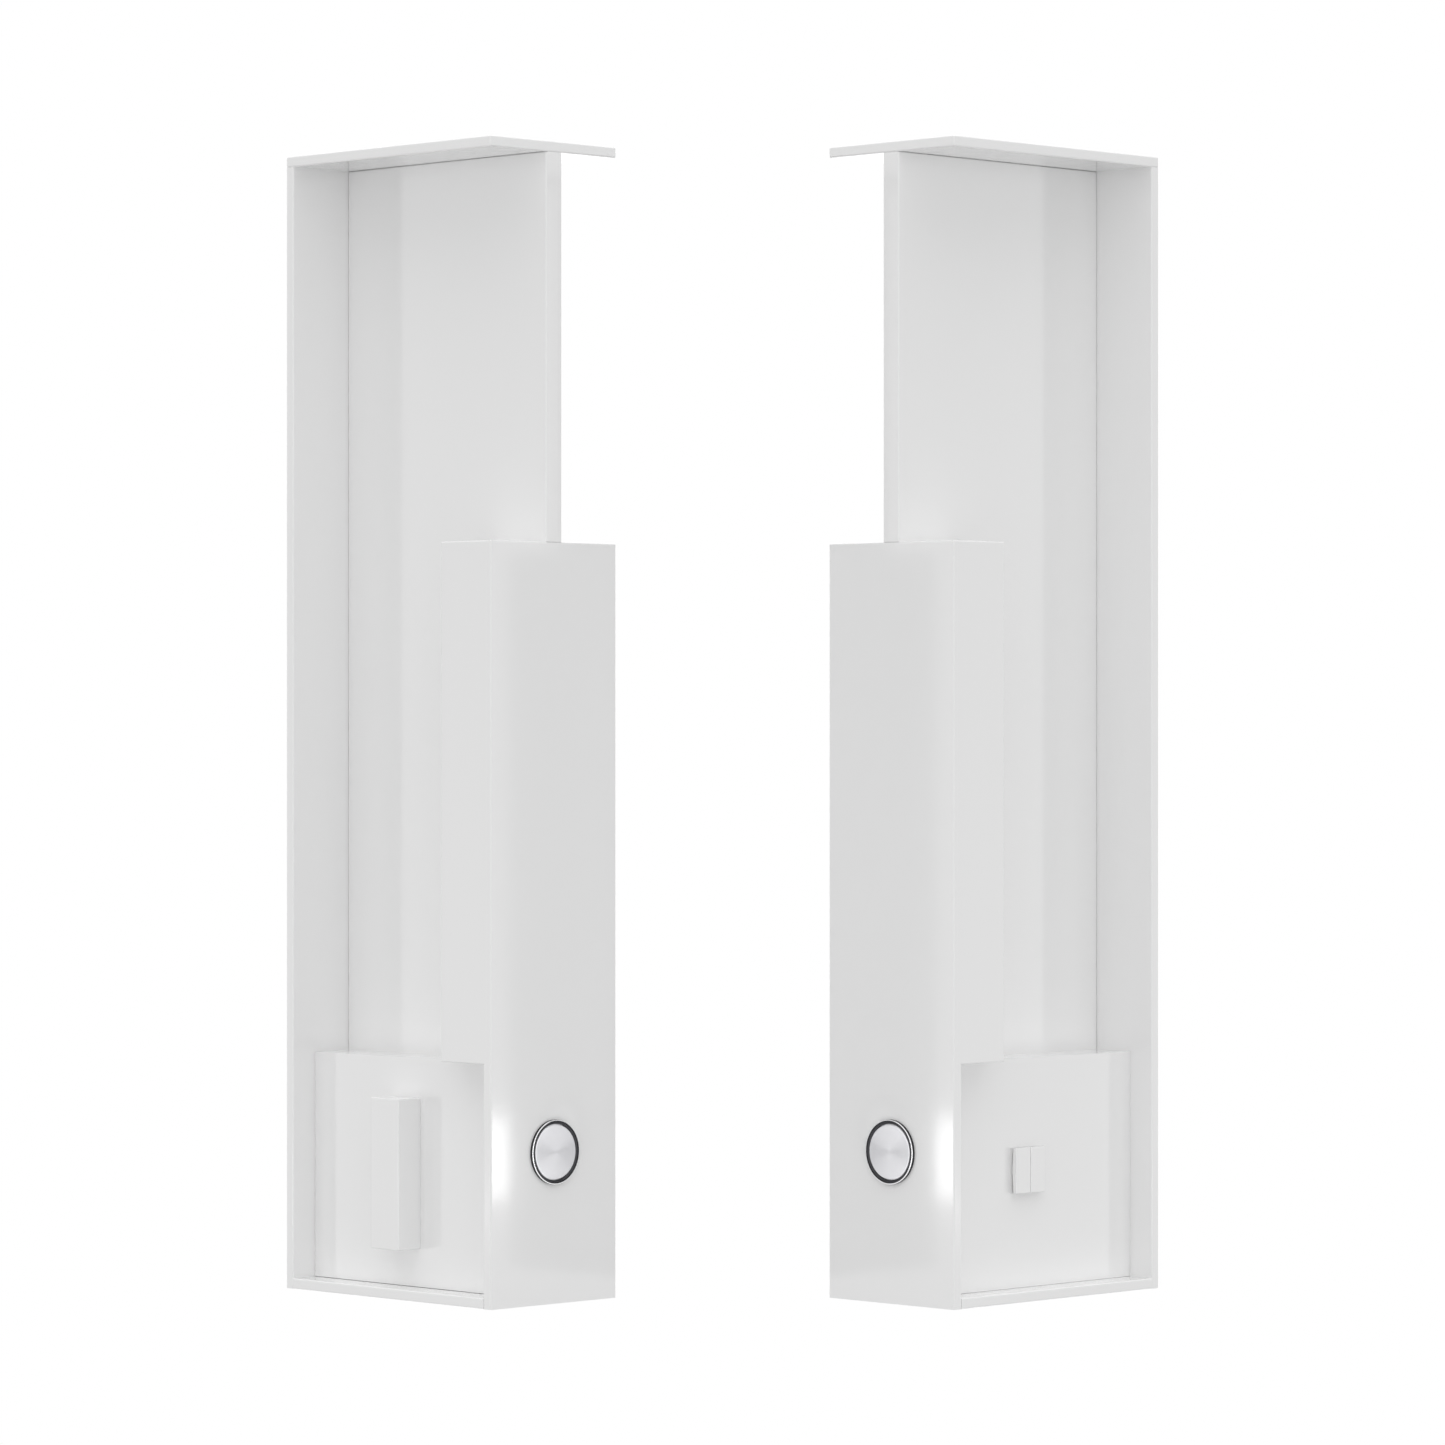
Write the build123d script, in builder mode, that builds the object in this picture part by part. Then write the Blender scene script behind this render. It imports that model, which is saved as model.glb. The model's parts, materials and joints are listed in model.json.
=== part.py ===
from build123d import *
import os
from math import cos, sin, radians

# Security gate: two free-standing posts.  Each post is drawn in its own frame and then stood on
# the floor.  In a post's frame X runs across the width, Y runs from the front face to the back
# and Z is up.  X = 0 is the middle of the post, Y = 0 its front face and Z = 0 the floor.
# All sizes are in millimetres.

# ---- post frame ----
HEIGHT = 1500.0
WIDTH = 222.0
DEPTH = 400.0
PANEL = 14.0                # thickness of every structural panel
EDGE_RADIUS = 2.0           # rounding of the panels' free edges
PANEL_GAP = 0.8             # shadow gap where one panel butts on another

# ---- how the two posts stand ----
YAW = 45.0                  # each post is turned this far, front faces towards each other
CORNER_SPACING = 591.5      # between the two nearest vertical corners

# ---- front box ----
BOX_TOP = 983.0
BOX_DEPTH = 95.0

# ---- lower body ----
SHELF_TOP = 313.0
SIDE_RECESS = 38.0          # from the post's side plane in to the lower body's side face
COVER_GAP = 0.2             # round the side cover

# ---- web ----
WEB_SKIN = 3.0
WEB_RIM = 10.0
COIL_GAP = 2.0
COIL_WIDTH = 12.0
COIL_THICKNESS = 16.0

# ---- service door ----
DOOR_GAP = 0.4
HINGE_PIN_DIAMETER = 6.0
HINGE_PIN_IN_DOOR = 12.0
HINGE_PIN_IN_FRAME = 8.0
HINGE_END_CLEARANCE = 1.0
RUNNING_CLEARANCE = 0.05    # radial, of anything that turns or slides in a bore
PULL_FRONT = 176.5
PULL_WIDTH = 55.0
PULL_BOTTOM = 64.0
PULL_HEIGHT = 197.0
PULL_EDGE_RADIUS = 1.5
PULL_FOOT_CHAMFER = 0.4     # leaves a fine line where the pull meets the door
MAGNET_SIZE = 15.0
MAGNET_HEIGHT = 40.0
MAGNET_GAP = 0.4
MAGNET_EDGE_RADIUS = 1.0

# ---- double rocker switch ----
SWITCH_FRONT = 149.0
SWITCH_WIDTH = 57.0
SWITCH_BOTTOM = 138.0
SWITCH_HEIGHT = 59.0
SWITCH_PROUD = 10.0
SWITCH_BASE = 2.0
SWITCH_HOUSING_MARGIN = 4.0
SWITCH_HOUSING_DEPTH = 33.0
CUT_OUT_CLEARANCE = 0.3
ROCKER_SPLIT = 0.8
ROCKER_EDGE = 4.6
ROCKER_CROWN = 6.6
ROCKER_HUB_RADIUS = 2.6
ROCKER_HUB_LENGTH = 18.0
ROCKER_PIVOT_RADIUS = 1.2
ROCKER_PIVOT_LENGTH = 1.6
ROCKER_PIVOT_HEIGHT = 3.4   # pivot line above the switch base
EAR_THICKNESS = 2.0
EAR_SIDE_CLEARANCE = 0.3

# ---- push button ----
BUTTON_HEIGHT = 196.0
CAP_DIAMETER = 71.0
CAP_THICKNESS = 14.0
CAP_PROUD = 3.4
CAP_EDGE = 0.7
CAP_FACE = 3.0               # thickness of the cap's face and of its skirt
CAP_BOSS_DIAMETER = 24.0
STEM_DIAMETER = 10.0
STEM_LENGTH = 42.0
BUTTON_TRAVEL = 4.0
RING_CLEARANCE = 0.5         # radial, between the cap and the ring
RING_WIDTH = 4.5
RING_SEAT_DEPTH = 2.5
RING_EDGE_HEIGHT = 0.6
RING_CROWN_HEIGHT = 2.0
FLANGE_RIM = 1.5             # of the flange, outside the ring
FLANGE_PROUD = 4.0
FLANGE_EDGE_RADIUS = 1.0
BARREL_WALL = 2.5
BARREL_LENGTH = 40.0
BARREL_HOLE_CLEARANCE = 0.2
NUT_WALL = 8.0
NUT_THICKNESS = 8.0
NUT_NOTCHES = 6
NUT_NOTCH_WIDTH = 10.0
NUT_NOTCH_DEPTH = 3.0
SPRING_MEAN_RADIUS = 9.0
SPRING_WIRE = 1.4
SPRING_LENGTH = 34.0
SPRING_TURNS = 6
SPRING_WELL_CLEARANCE = 1.0
CONTACT_FLANGE = 4.0
CONTACT_SIZE = 40.0
CONTACT_LENGTH = 40.0
STEM_BORE_DEPTH = 22.0

# ---- electronics in the lower body ----
SUPPLY_SIZE = (60.0, 105.0, 45.0)
SUPPLY_SIDE_CLEARANCE = 9.0
SUPPLY_FRONT_CLEARANCE = 1.0
BOARD_DEPTH = 140.0
BOARD_HEIGHT = 160.0
BOARD_THICKNESS = 1.6
BOARD_FRONT = 227.0
BOARD_BOTTOM = 80.0
BOARD_HOLE_INSET = 8.0
SPACER_LENGTH = 8.0
SPACER_DIAMETER = 8.0
CONNECTOR_HEIGHT = 12.0
CONNECTOR_WIDTH = 14.0
CONNECTOR_LENGTH = 24.0
RELAY_SIZE = (16.0, 22.0, 28.0)
RELAY_SPACE = 7.0
RELAYS = 3
SOUNDER_DIAMETER = 40.0
SOUNDER_HEIGHT = 15.0
SOUNDER_X = -15.0
SOUNDER_Y = 205.0
SOUNDER_MOUTH_DIAMETER = 8.0
SOUNDER_MOUTH_DEPTH = 5.0

# ---- leads ----
LEAD_DIAMETER = 5.0
LEAD_HOLE_DIAMETER = 8.0
LEAD_RADIUS = 14.0
BUTTON_LEAD_RADIUS = 22.0
BUTTON_LEAD_RUN = 50.0       # straight stretch at each end of the button's lead
BUTTON_LEAD_RISE = 4.0

# ---- floor fixing and cable entry ----
CABLE_ENTRY_Y = 200.0        # from the front face
CABLE_ENTRY_DIAMETER = 30.0
FLOOR_BOLT_CIRCLE = 90.0
FLOOR_BOLT_HOLE = 11.0
FLOOR_BOLTS = 4

# ---- brackets and screws ----
BRACKET_LEG = 30.0
BRACKET_WIDTH = 24.0
BRACKET_THICKNESS = 2.0
BRACKET_SIDE_CLEARANCE = 12.0
BRACKET_HOLE_AT = 20.0
SCREW_DIAMETER = 4.0
SCREW_LENGTH = 12.0
SCREW_HEAD_DIAMETER = 8.0
SCREW_HEAD_HEIGHT = 2.4
SCREW_HEAD_RIM = 0.9
SCREW_HEAD_CROWN_DIAMETER = 5.6
SCREW_SOCKET_RADIUS = 1.6    # hexagon socket, to its corners
SCREW_SOCKET_DEPTH = 1.4
SCREW_CLEARANCE = 0.05

# ---- planes that the pieces share ----
side = WIDTH / 2
back = DEPTH - PANEL
roof = HEIGHT - PANEL
inside = side - SIDE_RECESS - PANEL
lower_face = inside + PANEL
shelf_under = SHELF_TOP - PANEL
hinge_x = -(inside + PANEL / 2)
hinge_y = PANEL + DOOR_GAP + PANEL / 2
switch_centre_y = SWITCH_FRONT + SWITCH_WIDTH / 2
switch_centre_z = SWITCH_BOTTOM + SWITCH_HEIGHT / 2
pivot_x = lower_face + SWITCH_BASE + ROCKER_PIVOT_HEIGHT
board_face = inside - SPACER_LENGTH - BOARD_THICKNESS
connector_x = board_face - CONNECTOR_HEIGHT / 2
board_middle = BOARD_FRONT + BOARD_DEPTH / 2
coil_x = WEB_SKIN - PANEL
lead_x = coil_x + COIL_THICKNESS / 2
cap_back = CAP_THICKNESS - CAP_PROUD
cap_bore = CAP_DIAMETER / 2 + RUNNING_CLEARANCE
ring_inner = CAP_DIAMETER / 2 + RING_CLEARANCE
ring_outer = ring_inner + RING_WIDTH
flange_radius = ring_outer + FLANGE_RIM
barrel_radius = CAP_DIAMETER / 2 + BARREL_WALL
nut_radius = barrel_radius + NUT_WALL
bracket_x = inside - BRACKET_SIDE_CLEARANCE - BRACKET_WIDTH / 2
supply_left = SUPPLY_SIDE_CLEARANCE - inside
supply_front = CABLE_ENTRY_Y + FLOOR_BOLT_CIRCLE / 2 + SUPPLY_FRONT_CLEARANCE
board_screw_length = BOARD_THICKNESS + SPACER_LENGTH + SCREW_LENGTH / 2
TOLERANCE = 0.01
FRONT = Plane(origin=(0, 0, BUTTON_HEIGHT), x_dir=(1, 0, 0), z_dir=(0, 1, 0))


def block(x, y, z, mode=Mode.ADD):
    """A box that fills the three spans."""
    with Locations((min(x), min(y), min(z))):
        Box(abs(x[1] - x[0]), abs(y[1] - y[0]), abs(z[1] - z[0]), align=(Align.MIN,) * 3, mode=mode)


def at(edges, axis, value):
    """The edges whose middle lies on one plane."""
    return edges.filter_by_position(axis, value - TOLERANCE, value + TOLERANCE)


# ---- where the bracket and board screws go ----
# A bracket corner is the inside corner of two panels; its legs run from there along Y and Z.
CORNERS = [
    (x, y, z, away_y, away_z)
    for x in (-bracket_x, bracket_x)
    for y, away_y in ((PANEL, 1), (back, -1))
    for z, away_z in ((PANEL, 1), (shelf_under, -1))
]


def wall_seat(corner):
    """Where a screw's head sits on the leg that stands against the front or back panel."""
    x, y, z, away_y, away_z = corner
    spot = (x, y + away_y * BRACKET_THICKNESS, z + away_z * BRACKET_HOLE_AT)
    return Plane(origin=spot, x_dir=(1, 0, 0), z_dir=(0, away_y, 0))


def plate_seat(corner):
    """Where a screw's head sits on the leg that lies on the base plate or under the shelf."""
    x, y, z, away_y, away_z = corner
    spot = (x, y + away_y * BRACKET_HOLE_AT, z + away_z * BRACKET_THICKNESS)
    return Plane(origin=spot, x_dir=(1, 0, 0), z_dir=(0, 0, away_z))


def board_seats():
    """Where the board's four screws sit on its open face."""
    low_y = BOARD_FRONT + BOARD_HOLE_INSET
    high_y = BOARD_FRONT + BOARD_DEPTH - BOARD_HOLE_INSET
    low_z = BOARD_BOTTOM + BOARD_HOLE_INSET
    high_z = BOARD_BOTTOM + BOARD_HEIGHT - BOARD_HOLE_INSET
    spots = [(board_face, y, z) for y in (low_y, high_y) for z in (low_z, high_z)]
    return [Plane(origin=spot, x_dir=(0, 1, 0), z_dir=(-1, 0, 0)) for spot in spots]


def drill(seats, length=SCREW_LENGTH):
    """Screw holes below the given seats."""
    with Locations(*seats):
        Cylinder(
            SCREW_DIAMETER / 2 + SCREW_CLEARANCE, length, align=(Align.CENTER, Align.CENTER, Align.MAX),
            mode=Mode.SUBTRACT,
        )


front_seats = [wall_seat(corner) for corner in CORNERS if corner[3] > 0]
back_seats = [wall_seat(corner) for corner in CORNERS if corner[3] < 0]
base_seats = [plate_seat(corner) for corner in CORNERS if corner[4] > 0]
shelf_seats = [plate_seat(corner) for corner in CORNERS if corner[4] < 0]

# ---- frame panels ----
with BuildPart() as back_panel:
    block((-side, side), (back, DEPTH), (0, roof))
    fillet(back_panel.edges().filter_by(Axis.Z), EDGE_RADIUS)
    drill(back_seats)
back_panel.part.label = "back_panel"

with BuildPart() as top_plate:
    block((-side, side), (0, DEPTH), (roof, HEIGHT))
    fillet(top_plate.edges().filter_by(Axis.Z), EDGE_RADIUS)
    fillet(top_plate.faces().sort_by(Axis.Z)[-1].edges(), EDGE_RADIUS)
    under = top_plate.faces().sort_by(Axis.Z)[0].edges()
    fillet(under - at(under, Axis.Y, DEPTH), EDGE_RADIUS)
top_plate.part.label = "top_plate"

with BuildPart() as base_plate:
    block((-side, side), (PANEL, back), (0, PANEL))
    fillet(base_plate.edges().filter_by(Axis.Y), EDGE_RADIUS)
    with Locations((0, CABLE_ENTRY_Y, PANEL)):
        Hole(CABLE_ENTRY_DIAMETER / 2)
        with PolarLocations(FLOOR_BOLT_CIRCLE / 2, FLOOR_BOLTS, start_angle=YAW):
            Hole(FLOOR_BOLT_HOLE / 2)
    with Locations((hinge_x, hinge_y, PANEL)):
        Hole(HINGE_PIN_DIAMETER / 2, depth=HINGE_PIN_IN_FRAME)
    drill(base_seats)
base_plate.part.label = "base_plate"

# ---- front box ----
with BuildPart() as front_cover:
    block((-side, side), (0, PANEL), (0, BOX_TOP))
    for end in (-side, side):
        inner = end - PANEL if end > 0 else end + PANEL
        block((end, inner), (PANEL, BOX_DEPTH), (SHELF_TOP, BOX_TOP))
    free = front_cover.edges().filter_by_position(Axis.Z, TOLERANCE, HEIGHT)
    top_front = at(at(free, Axis.Y, 0), Axis.Z, BOX_TOP)
    fillet(at(free, Axis.X, -side) + at(free, Axis.X, side) + top_front, EDGE_RADIUS)
    with Locations(FRONT):
        Cylinder(
            barrel_radius + BARREL_HOLE_CLEARANCE, PANEL,
            align=(Align.CENTER, Align.CENTER, Align.MIN), mode=Mode.SUBTRACT,
        )
    drill(front_seats)
front_cover.part.label = "front_cover"

with BuildPart() as box_back:
    block((PANEL - side, side - PANEL), (BOX_DEPTH - PANEL, BOX_DEPTH), (SHELF_TOP, BOX_TOP))
    block((PANEL - side, side - PANEL), (PANEL, BOX_DEPTH - PANEL), (BOX_TOP - PANEL, BOX_TOP))
    block((PANEL - side, side - PANEL), (PANEL, BOX_DEPTH - PANEL), (SHELF_TOP, SHELF_TOP + PANEL))
    with Locations((hinge_x, hinge_y, SHELF_TOP)):
        Cylinder(
            HINGE_PIN_DIAMETER / 2, HINGE_PIN_IN_FRAME,
            align=(Align.CENTER, Align.CENTER, Align.MIN), mode=Mode.SUBTRACT,
        )
box_back.part.label = "box_back"

# ---- web ----
# The web's outline runs over the box, up its front edge, under the top plate, down the back
# panel and along the shelf.
ACROSS = Plane(origin=(0, 0, 0), x_dir=(0, 1, 0), z_dir=(1, 0, 0))


def web_points(gap):
    """The outline's corners, with a gap kept at the top plate and the back panel."""
    return [
        (0, BOX_TOP), (0, roof - gap), (back - gap, roof - gap), (back - gap, SHELF_TOP),
        (BOX_DEPTH, SHELF_TOP), (BOX_DEPTH, BOX_TOP),
    ]


with BuildPart() as web_tray:
    with BuildSketch(ACROSS.offset(WEB_SKIN - PANEL)):
        Polygon(*web_points(0), align=None)
    extrude(amount=2 * (PANEL - WEB_SKIN))
    with BuildSketch(ACROSS.offset(-PANEL)):
        Polygon(*web_points(PANEL_GAP), align=None)
    extrude(amount=WEB_SKIN)
    with BuildSketch(ACROSS.offset(WEB_SKIN - PANEL)):
        with BuildLine():
            Polyline(*web_points(0), close=True)
        make_face()
        offset(amount=-WEB_RIM, kind=Kind.INTERSECTION, mode=Mode.REPLACE)
    extrude(amount=2 * (PANEL - WEB_SKIN), mode=Mode.SUBTRACT)
    fillet(at(at(web_tray.edges().filter_by(Axis.Z), Axis.Y, 0), Axis.X, -PANEL), EDGE_RADIUS)
    with Locations((lead_x, board_middle, SHELF_TOP)):
        Cylinder(
            LEAD_HOLE_DIAMETER / 2, WEB_RIM,
            align=(Align.CENTER, Align.CENTER, Align.MIN), mode=Mode.SUBTRACT,
        )
web_tray.part.label = "web_tray"

with BuildPart() as web_cover:
    with BuildSketch(ACROSS.offset(PANEL - WEB_SKIN)):
        Polygon(*web_points(PANEL_GAP), align=None)
    extrude(amount=WEB_SKIN)
    fillet(at(at(web_cover.edges().filter_by(Axis.Z), Axis.Y, 0), Axis.X, PANEL), EDGE_RADIUS)
web_cover.part.label = "web_cover"

with BuildPart() as antenna_coil:
    with BuildSketch(ACROSS.offset(coil_x)):
        with BuildLine():
            Polyline(*web_points(0), close=True)
        make_face()
        offset(amount=-(WEB_RIM + COIL_GAP), kind=Kind.INTERSECTION, mode=Mode.REPLACE)
        offset(amount=-COIL_WIDTH, kind=Kind.INTERSECTION, mode=Mode.SUBTRACT)
    extrude(amount=COIL_THICKNESS)
antenna_coil.part.label = "antenna_coil"

# ---- lower body ----
with BuildPart() as shelf:
    block((-inside, inside), (PANEL, back), (shelf_under, SHELF_TOP))
    with Locations((lead_x, board_middle, SHELF_TOP)):
        Hole(LEAD_HOLE_DIAMETER / 2)
    drill(shelf_seats)
shelf.part.label = "shelf"

housing_half_y = SWITCH_WIDTH / 2 - SWITCH_HOUSING_MARGIN
housing_half_z = SWITCH_HEIGHT / 2 - SWITCH_HOUSING_MARGIN
with BuildPart() as side_cover:
    block((inside, lower_face), (PANEL, back - COVER_GAP), (PANEL + COVER_GAP, SHELF_TOP))
    cut_y = housing_half_y + CUT_OUT_CLEARANCE
    cut_z = housing_half_z + CUT_OUT_CLEARANCE
    block(
        (inside, lower_face), (switch_centre_y - cut_y, switch_centre_y + cut_y),
        (switch_centre_z - cut_z, switch_centre_z + cut_z), mode=Mode.SUBTRACT,
    )
    drill(board_seats(), board_screw_length)
side_cover.part.label = "side_cover"

# ---- service door, hung on two pins at its front edge ----
door_bottom = PANEL + DOOR_GAP
door_top = SHELF_TOP - DOOR_GAP
with BuildPart() as service_door:
    block((-lower_face, -inside), (hinge_y, back - DOOR_GAP), (door_bottom, door_top))
    with BuildSketch(Plane.XY.offset(door_bottom)):
        with Locations((hinge_x, hinge_y)):
            Circle(PANEL / 2)
    extrude(amount=door_top - door_bottom)
    with BuildSketch(Plane.XY.offset(door_bottom)):
        with Locations((hinge_x, hinge_y)):
            Circle(HINGE_PIN_DIAMETER / 2 + RUNNING_CLEARANCE)
    extrude(amount=HINGE_PIN_IN_DOOR, mode=Mode.SUBTRACT)
    with BuildSketch(Plane.XY.offset(door_top)):
        with Locations((hinge_x, hinge_y)):
            Circle(HINGE_PIN_DIAMETER / 2 + RUNNING_CLEARANCE)
    extrude(amount=-HINGE_PIN_IN_DOOR, mode=Mode.SUBTRACT)
service_door.part.label = "service_door"

with BuildPart() as door_pull:
    pull_back = PULL_FRONT + PULL_WIDTH
    block((-side, -lower_face), (PULL_FRONT, pull_back), (PULL_BOTTOM, PULL_BOTTOM + PULL_HEIGHT))
    outer = at(door_pull.edges(), Axis.X, -side)
    fillet(outer + door_pull.edges().filter_by(Axis.X), PULL_EDGE_RADIUS)
    chamfer(at(door_pull.edges(), Axis.X, -lower_face), PULL_FOOT_CHAMFER)
door_pull.part.label = "door_pull"

with BuildPart() as hinge_pins:
    length = HINGE_PIN_IN_FRAME + DOOR_GAP + HINGE_PIN_IN_DOOR - HINGE_END_CLEARANCE
    with Locations((hinge_x, hinge_y, PANEL - HINGE_PIN_IN_FRAME)):
        Cylinder(HINGE_PIN_DIAMETER / 2, length, align=(Align.CENTER, Align.CENTER, Align.MIN))
    with Locations((hinge_x, hinge_y, SHELF_TOP + HINGE_PIN_IN_FRAME)):
        Cylinder(HINGE_PIN_DIAMETER / 2, length, align=(Align.CENTER, Align.CENTER, Align.MAX))
hinge_pins.part.label = "hinge_pins"

with BuildPart() as door_magnet:
    middle = (PANEL + SHELF_TOP) / 2
    block(
        (MAGNET_GAP - inside, MAGNET_GAP - inside + MAGNET_SIZE), (back - MAGNET_SIZE, back),
        (middle - MAGNET_HEIGHT / 2, middle + MAGNET_HEIGHT / 2),
    )
    fillet(at(door_magnet.edges().filter_by(Axis.Z), Axis.Y, back - MAGNET_SIZE), MAGNET_EDGE_RADIUS)
door_magnet.part.label = "door_magnet"

# ---- double rocker switch on the side cover ----
switch_face = lower_face + SWITCH_PROUD
rocker_width = (SWITCH_WIDTH - ROCKER_SPLIT) / 2
ear_reach = ROCKER_PIVOT_RADIUS + RUNNING_CLEARANCE + EAR_THICKNESS / 2
ROCKER_MIDDLES = (SWITCH_FRONT + rocker_width / 2, SWITCH_FRONT + SWITCH_WIDTH - rocker_width / 2)


def along_y(x, y, z):
    """A plane across the post's depth, facing the back."""
    return Plane(origin=(x, y, z), x_dir=(1, 0, 0), z_dir=(0, 1, 0))


def ear_spans(middle):
    """The two stretches of Y that a rocker's ears fill."""
    start = ROCKER_HUB_LENGTH / 2 + EAR_SIDE_CLEARANCE
    end = start + EAR_THICKNESS
    return ((middle - end, middle - start), (middle + start, middle + end))


with BuildPart() as switch_frame:
    block(
        (lower_face, lower_face + SWITCH_BASE), (SWITCH_FRONT, SWITCH_FRONT + SWITCH_WIDTH),
        (SWITCH_BOTTOM, SWITCH_BOTTOM + SWITCH_HEIGHT),
    )
    block(
        (lower_face - SWITCH_HOUSING_DEPTH, lower_face),
        (switch_centre_y - housing_half_y, switch_centre_y + housing_half_y),
        (switch_centre_z - housing_half_z, switch_centre_z + housing_half_z),
    )
    for middle in ROCKER_MIDDLES:
        for span in ear_spans(middle):
            block(
                (lower_face + SWITCH_BASE, pivot_x + ear_reach), span,
                (switch_centre_z - ear_reach, switch_centre_z + ear_reach),
            )
        with Locations(along_y(pivot_x, middle, switch_centre_z)):
            Cylinder(
                ROCKER_PIVOT_RADIUS + RUNNING_CLEARANCE,
                ROCKER_HUB_LENGTH + 2 * (EAR_SIDE_CLEARANCE + EAR_THICKNESS), mode=Mode.SUBTRACT,
            )
switch_frame.part.label = "switch_frame"


def make_rocker(middle):
    """One rocker: a flat face with a crowned back, a hub and two pivot stubs."""
    half = SWITCH_HEIGHT / 2
    pocket = ear_reach + 2 * EAR_SIDE_CLEARANCE
    with BuildPart() as rocker:
        with BuildSketch(along_y(0, middle - rocker_width / 2, switch_centre_z)):
            Polygon(
                (switch_face, -half), (switch_face, half), (switch_face - ROCKER_EDGE, half),
                (switch_face - ROCKER_CROWN, pocket), (switch_face - ROCKER_CROWN, -pocket),
                (switch_face - ROCKER_EDGE, -half), align=None,
            )
        extrude(amount=rocker_width)
        fillet(at(rocker.edges(), Axis.X, switch_face), CAP_EDGE)
        with Locations(along_y(pivot_x, middle, switch_centre_z)):
            Cylinder(ROCKER_HUB_RADIUS, ROCKER_HUB_LENGTH)
        for start, end in ear_spans(middle):
            block(
                (lower_face, pivot_x + pocket), (start - EAR_SIDE_CLEARANCE, end + EAR_SIDE_CLEARANCE),
                (switch_centre_z - pocket, switch_centre_z + pocket), mode=Mode.SUBTRACT,
            )
        with Locations(along_y(pivot_x, middle, switch_centre_z)):
            Cylinder(ROCKER_PIVOT_RADIUS, ROCKER_HUB_LENGTH + 2 * ROCKER_PIVOT_LENGTH)
    return rocker


rocker_front = make_rocker(ROCKER_MIDDLES[0])
rocker_front.part.label = "rocker_front"
rocker_rear = make_rocker(ROCKER_MIDDLES[1])
rocker_rear.part.label = "rocker_rear"

# ---- push button: everything turns about one line from the front face to the back ----
BUTTON_AXIS = Axis((0, 0, BUTTON_HEIGHT), (0, 1, 0))
RADIAL = Plane(origin=(0, 0, BUTTON_HEIGHT), x_dir=(1, 0, 0), z_dir=(0, 0, 1))
ring_seat = RING_SEAT_DEPTH - FLANGE_PROUD

with BuildPart() as button_bezel:
    with BuildSketch(RADIAL):
        Polygon(
            (cap_bore, BARREL_LENGTH), (barrel_radius, BARREL_LENGTH), (barrel_radius, 0),
            (flange_radius, 0), (flange_radius, -FLANGE_PROUD), (ring_outer, -FLANGE_PROUD),
            (ring_outer, ring_seat), (cap_bore, ring_seat), align=None,
        )
    revolve(axis=BUTTON_AXIS)
    front_edges = at(button_bezel.edges(), Axis.Y, -FLANGE_PROUD)
    fillet(front_edges.sort_by(SortBy.RADIUS)[-1], FLANGE_EDGE_RADIUS)
button_bezel.part.label = "button_bezel"

with BuildPart() as button_ring:
    with BuildSketch(RADIAL):
        with BuildLine():
            foot = ring_seat - RING_EDGE_HEIGHT
            Line((ring_inner, ring_seat), (ring_outer, ring_seat))
            Line((ring_outer, ring_seat), (ring_outer, foot))
            ThreePointArc(
                (ring_outer, foot), ((ring_outer + ring_inner) / 2, ring_seat - RING_CROWN_HEIGHT),
                (ring_inner, foot),
            )
            Line((ring_inner, foot), (ring_inner, ring_seat))
        make_face()
    revolve(axis=BUTTON_AXIS)
button_ring.part.label = "button_ring"

with BuildPart() as button_cap:
    with BuildSketch(FRONT.offset(-CAP_PROUD)):
        Circle(CAP_DIAMETER / 2)
    extrude(amount=CAP_THICKNESS)
    chamfer(button_cap.faces().sort_by(Axis.Y)[0].edges(), CAP_EDGE)
    with BuildSketch(FRONT.offset(cap_back)):
        Circle(CAP_DIAMETER / 2 - CAP_FACE)
        Circle(CAP_BOSS_DIAMETER / 2, mode=Mode.SUBTRACT)
    extrude(amount=CAP_FACE - CAP_THICKNESS, mode=Mode.SUBTRACT)
    with BuildSketch(FRONT.offset(cap_back)):
        Circle(STEM_DIAMETER / 2)
    extrude(amount=STEM_LENGTH)
button_cap.part.label = "button_cap"

with BuildPart() as button_nut:
    with BuildSketch(FRONT.offset(PANEL)):
        Circle(nut_radius)
        Circle(barrel_radius, mode=Mode.SUBTRACT)
        with PolarLocations(nut_radius, NUT_NOTCHES):
            Rectangle(2 * NUT_NOTCH_DEPTH, NUT_NOTCH_WIDTH, mode=Mode.SUBTRACT)
    extrude(amount=NUT_THICKNESS)
button_nut.part.label = "button_nut"

spring_height = SPRING_LENGTH - SPRING_WIRE
with BuildPart() as button_spring:
    with BuildLine() as coil:
        Helix(
            spring_height / SPRING_TURNS, spring_height, SPRING_MEAN_RADIUS,
            center=(0, cap_back + SPRING_WIRE / 2, BUTTON_HEIGHT), direction=(0, 1, 0),
        )
    with BuildSketch(Plane(origin=coil.line @ 0, z_dir=coil.line % 0)):
        Circle(SPRING_WIRE / 2)
    sweep(path=coil.line, is_frenet=True)
button_spring.part.label = "button_spring"

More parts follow.
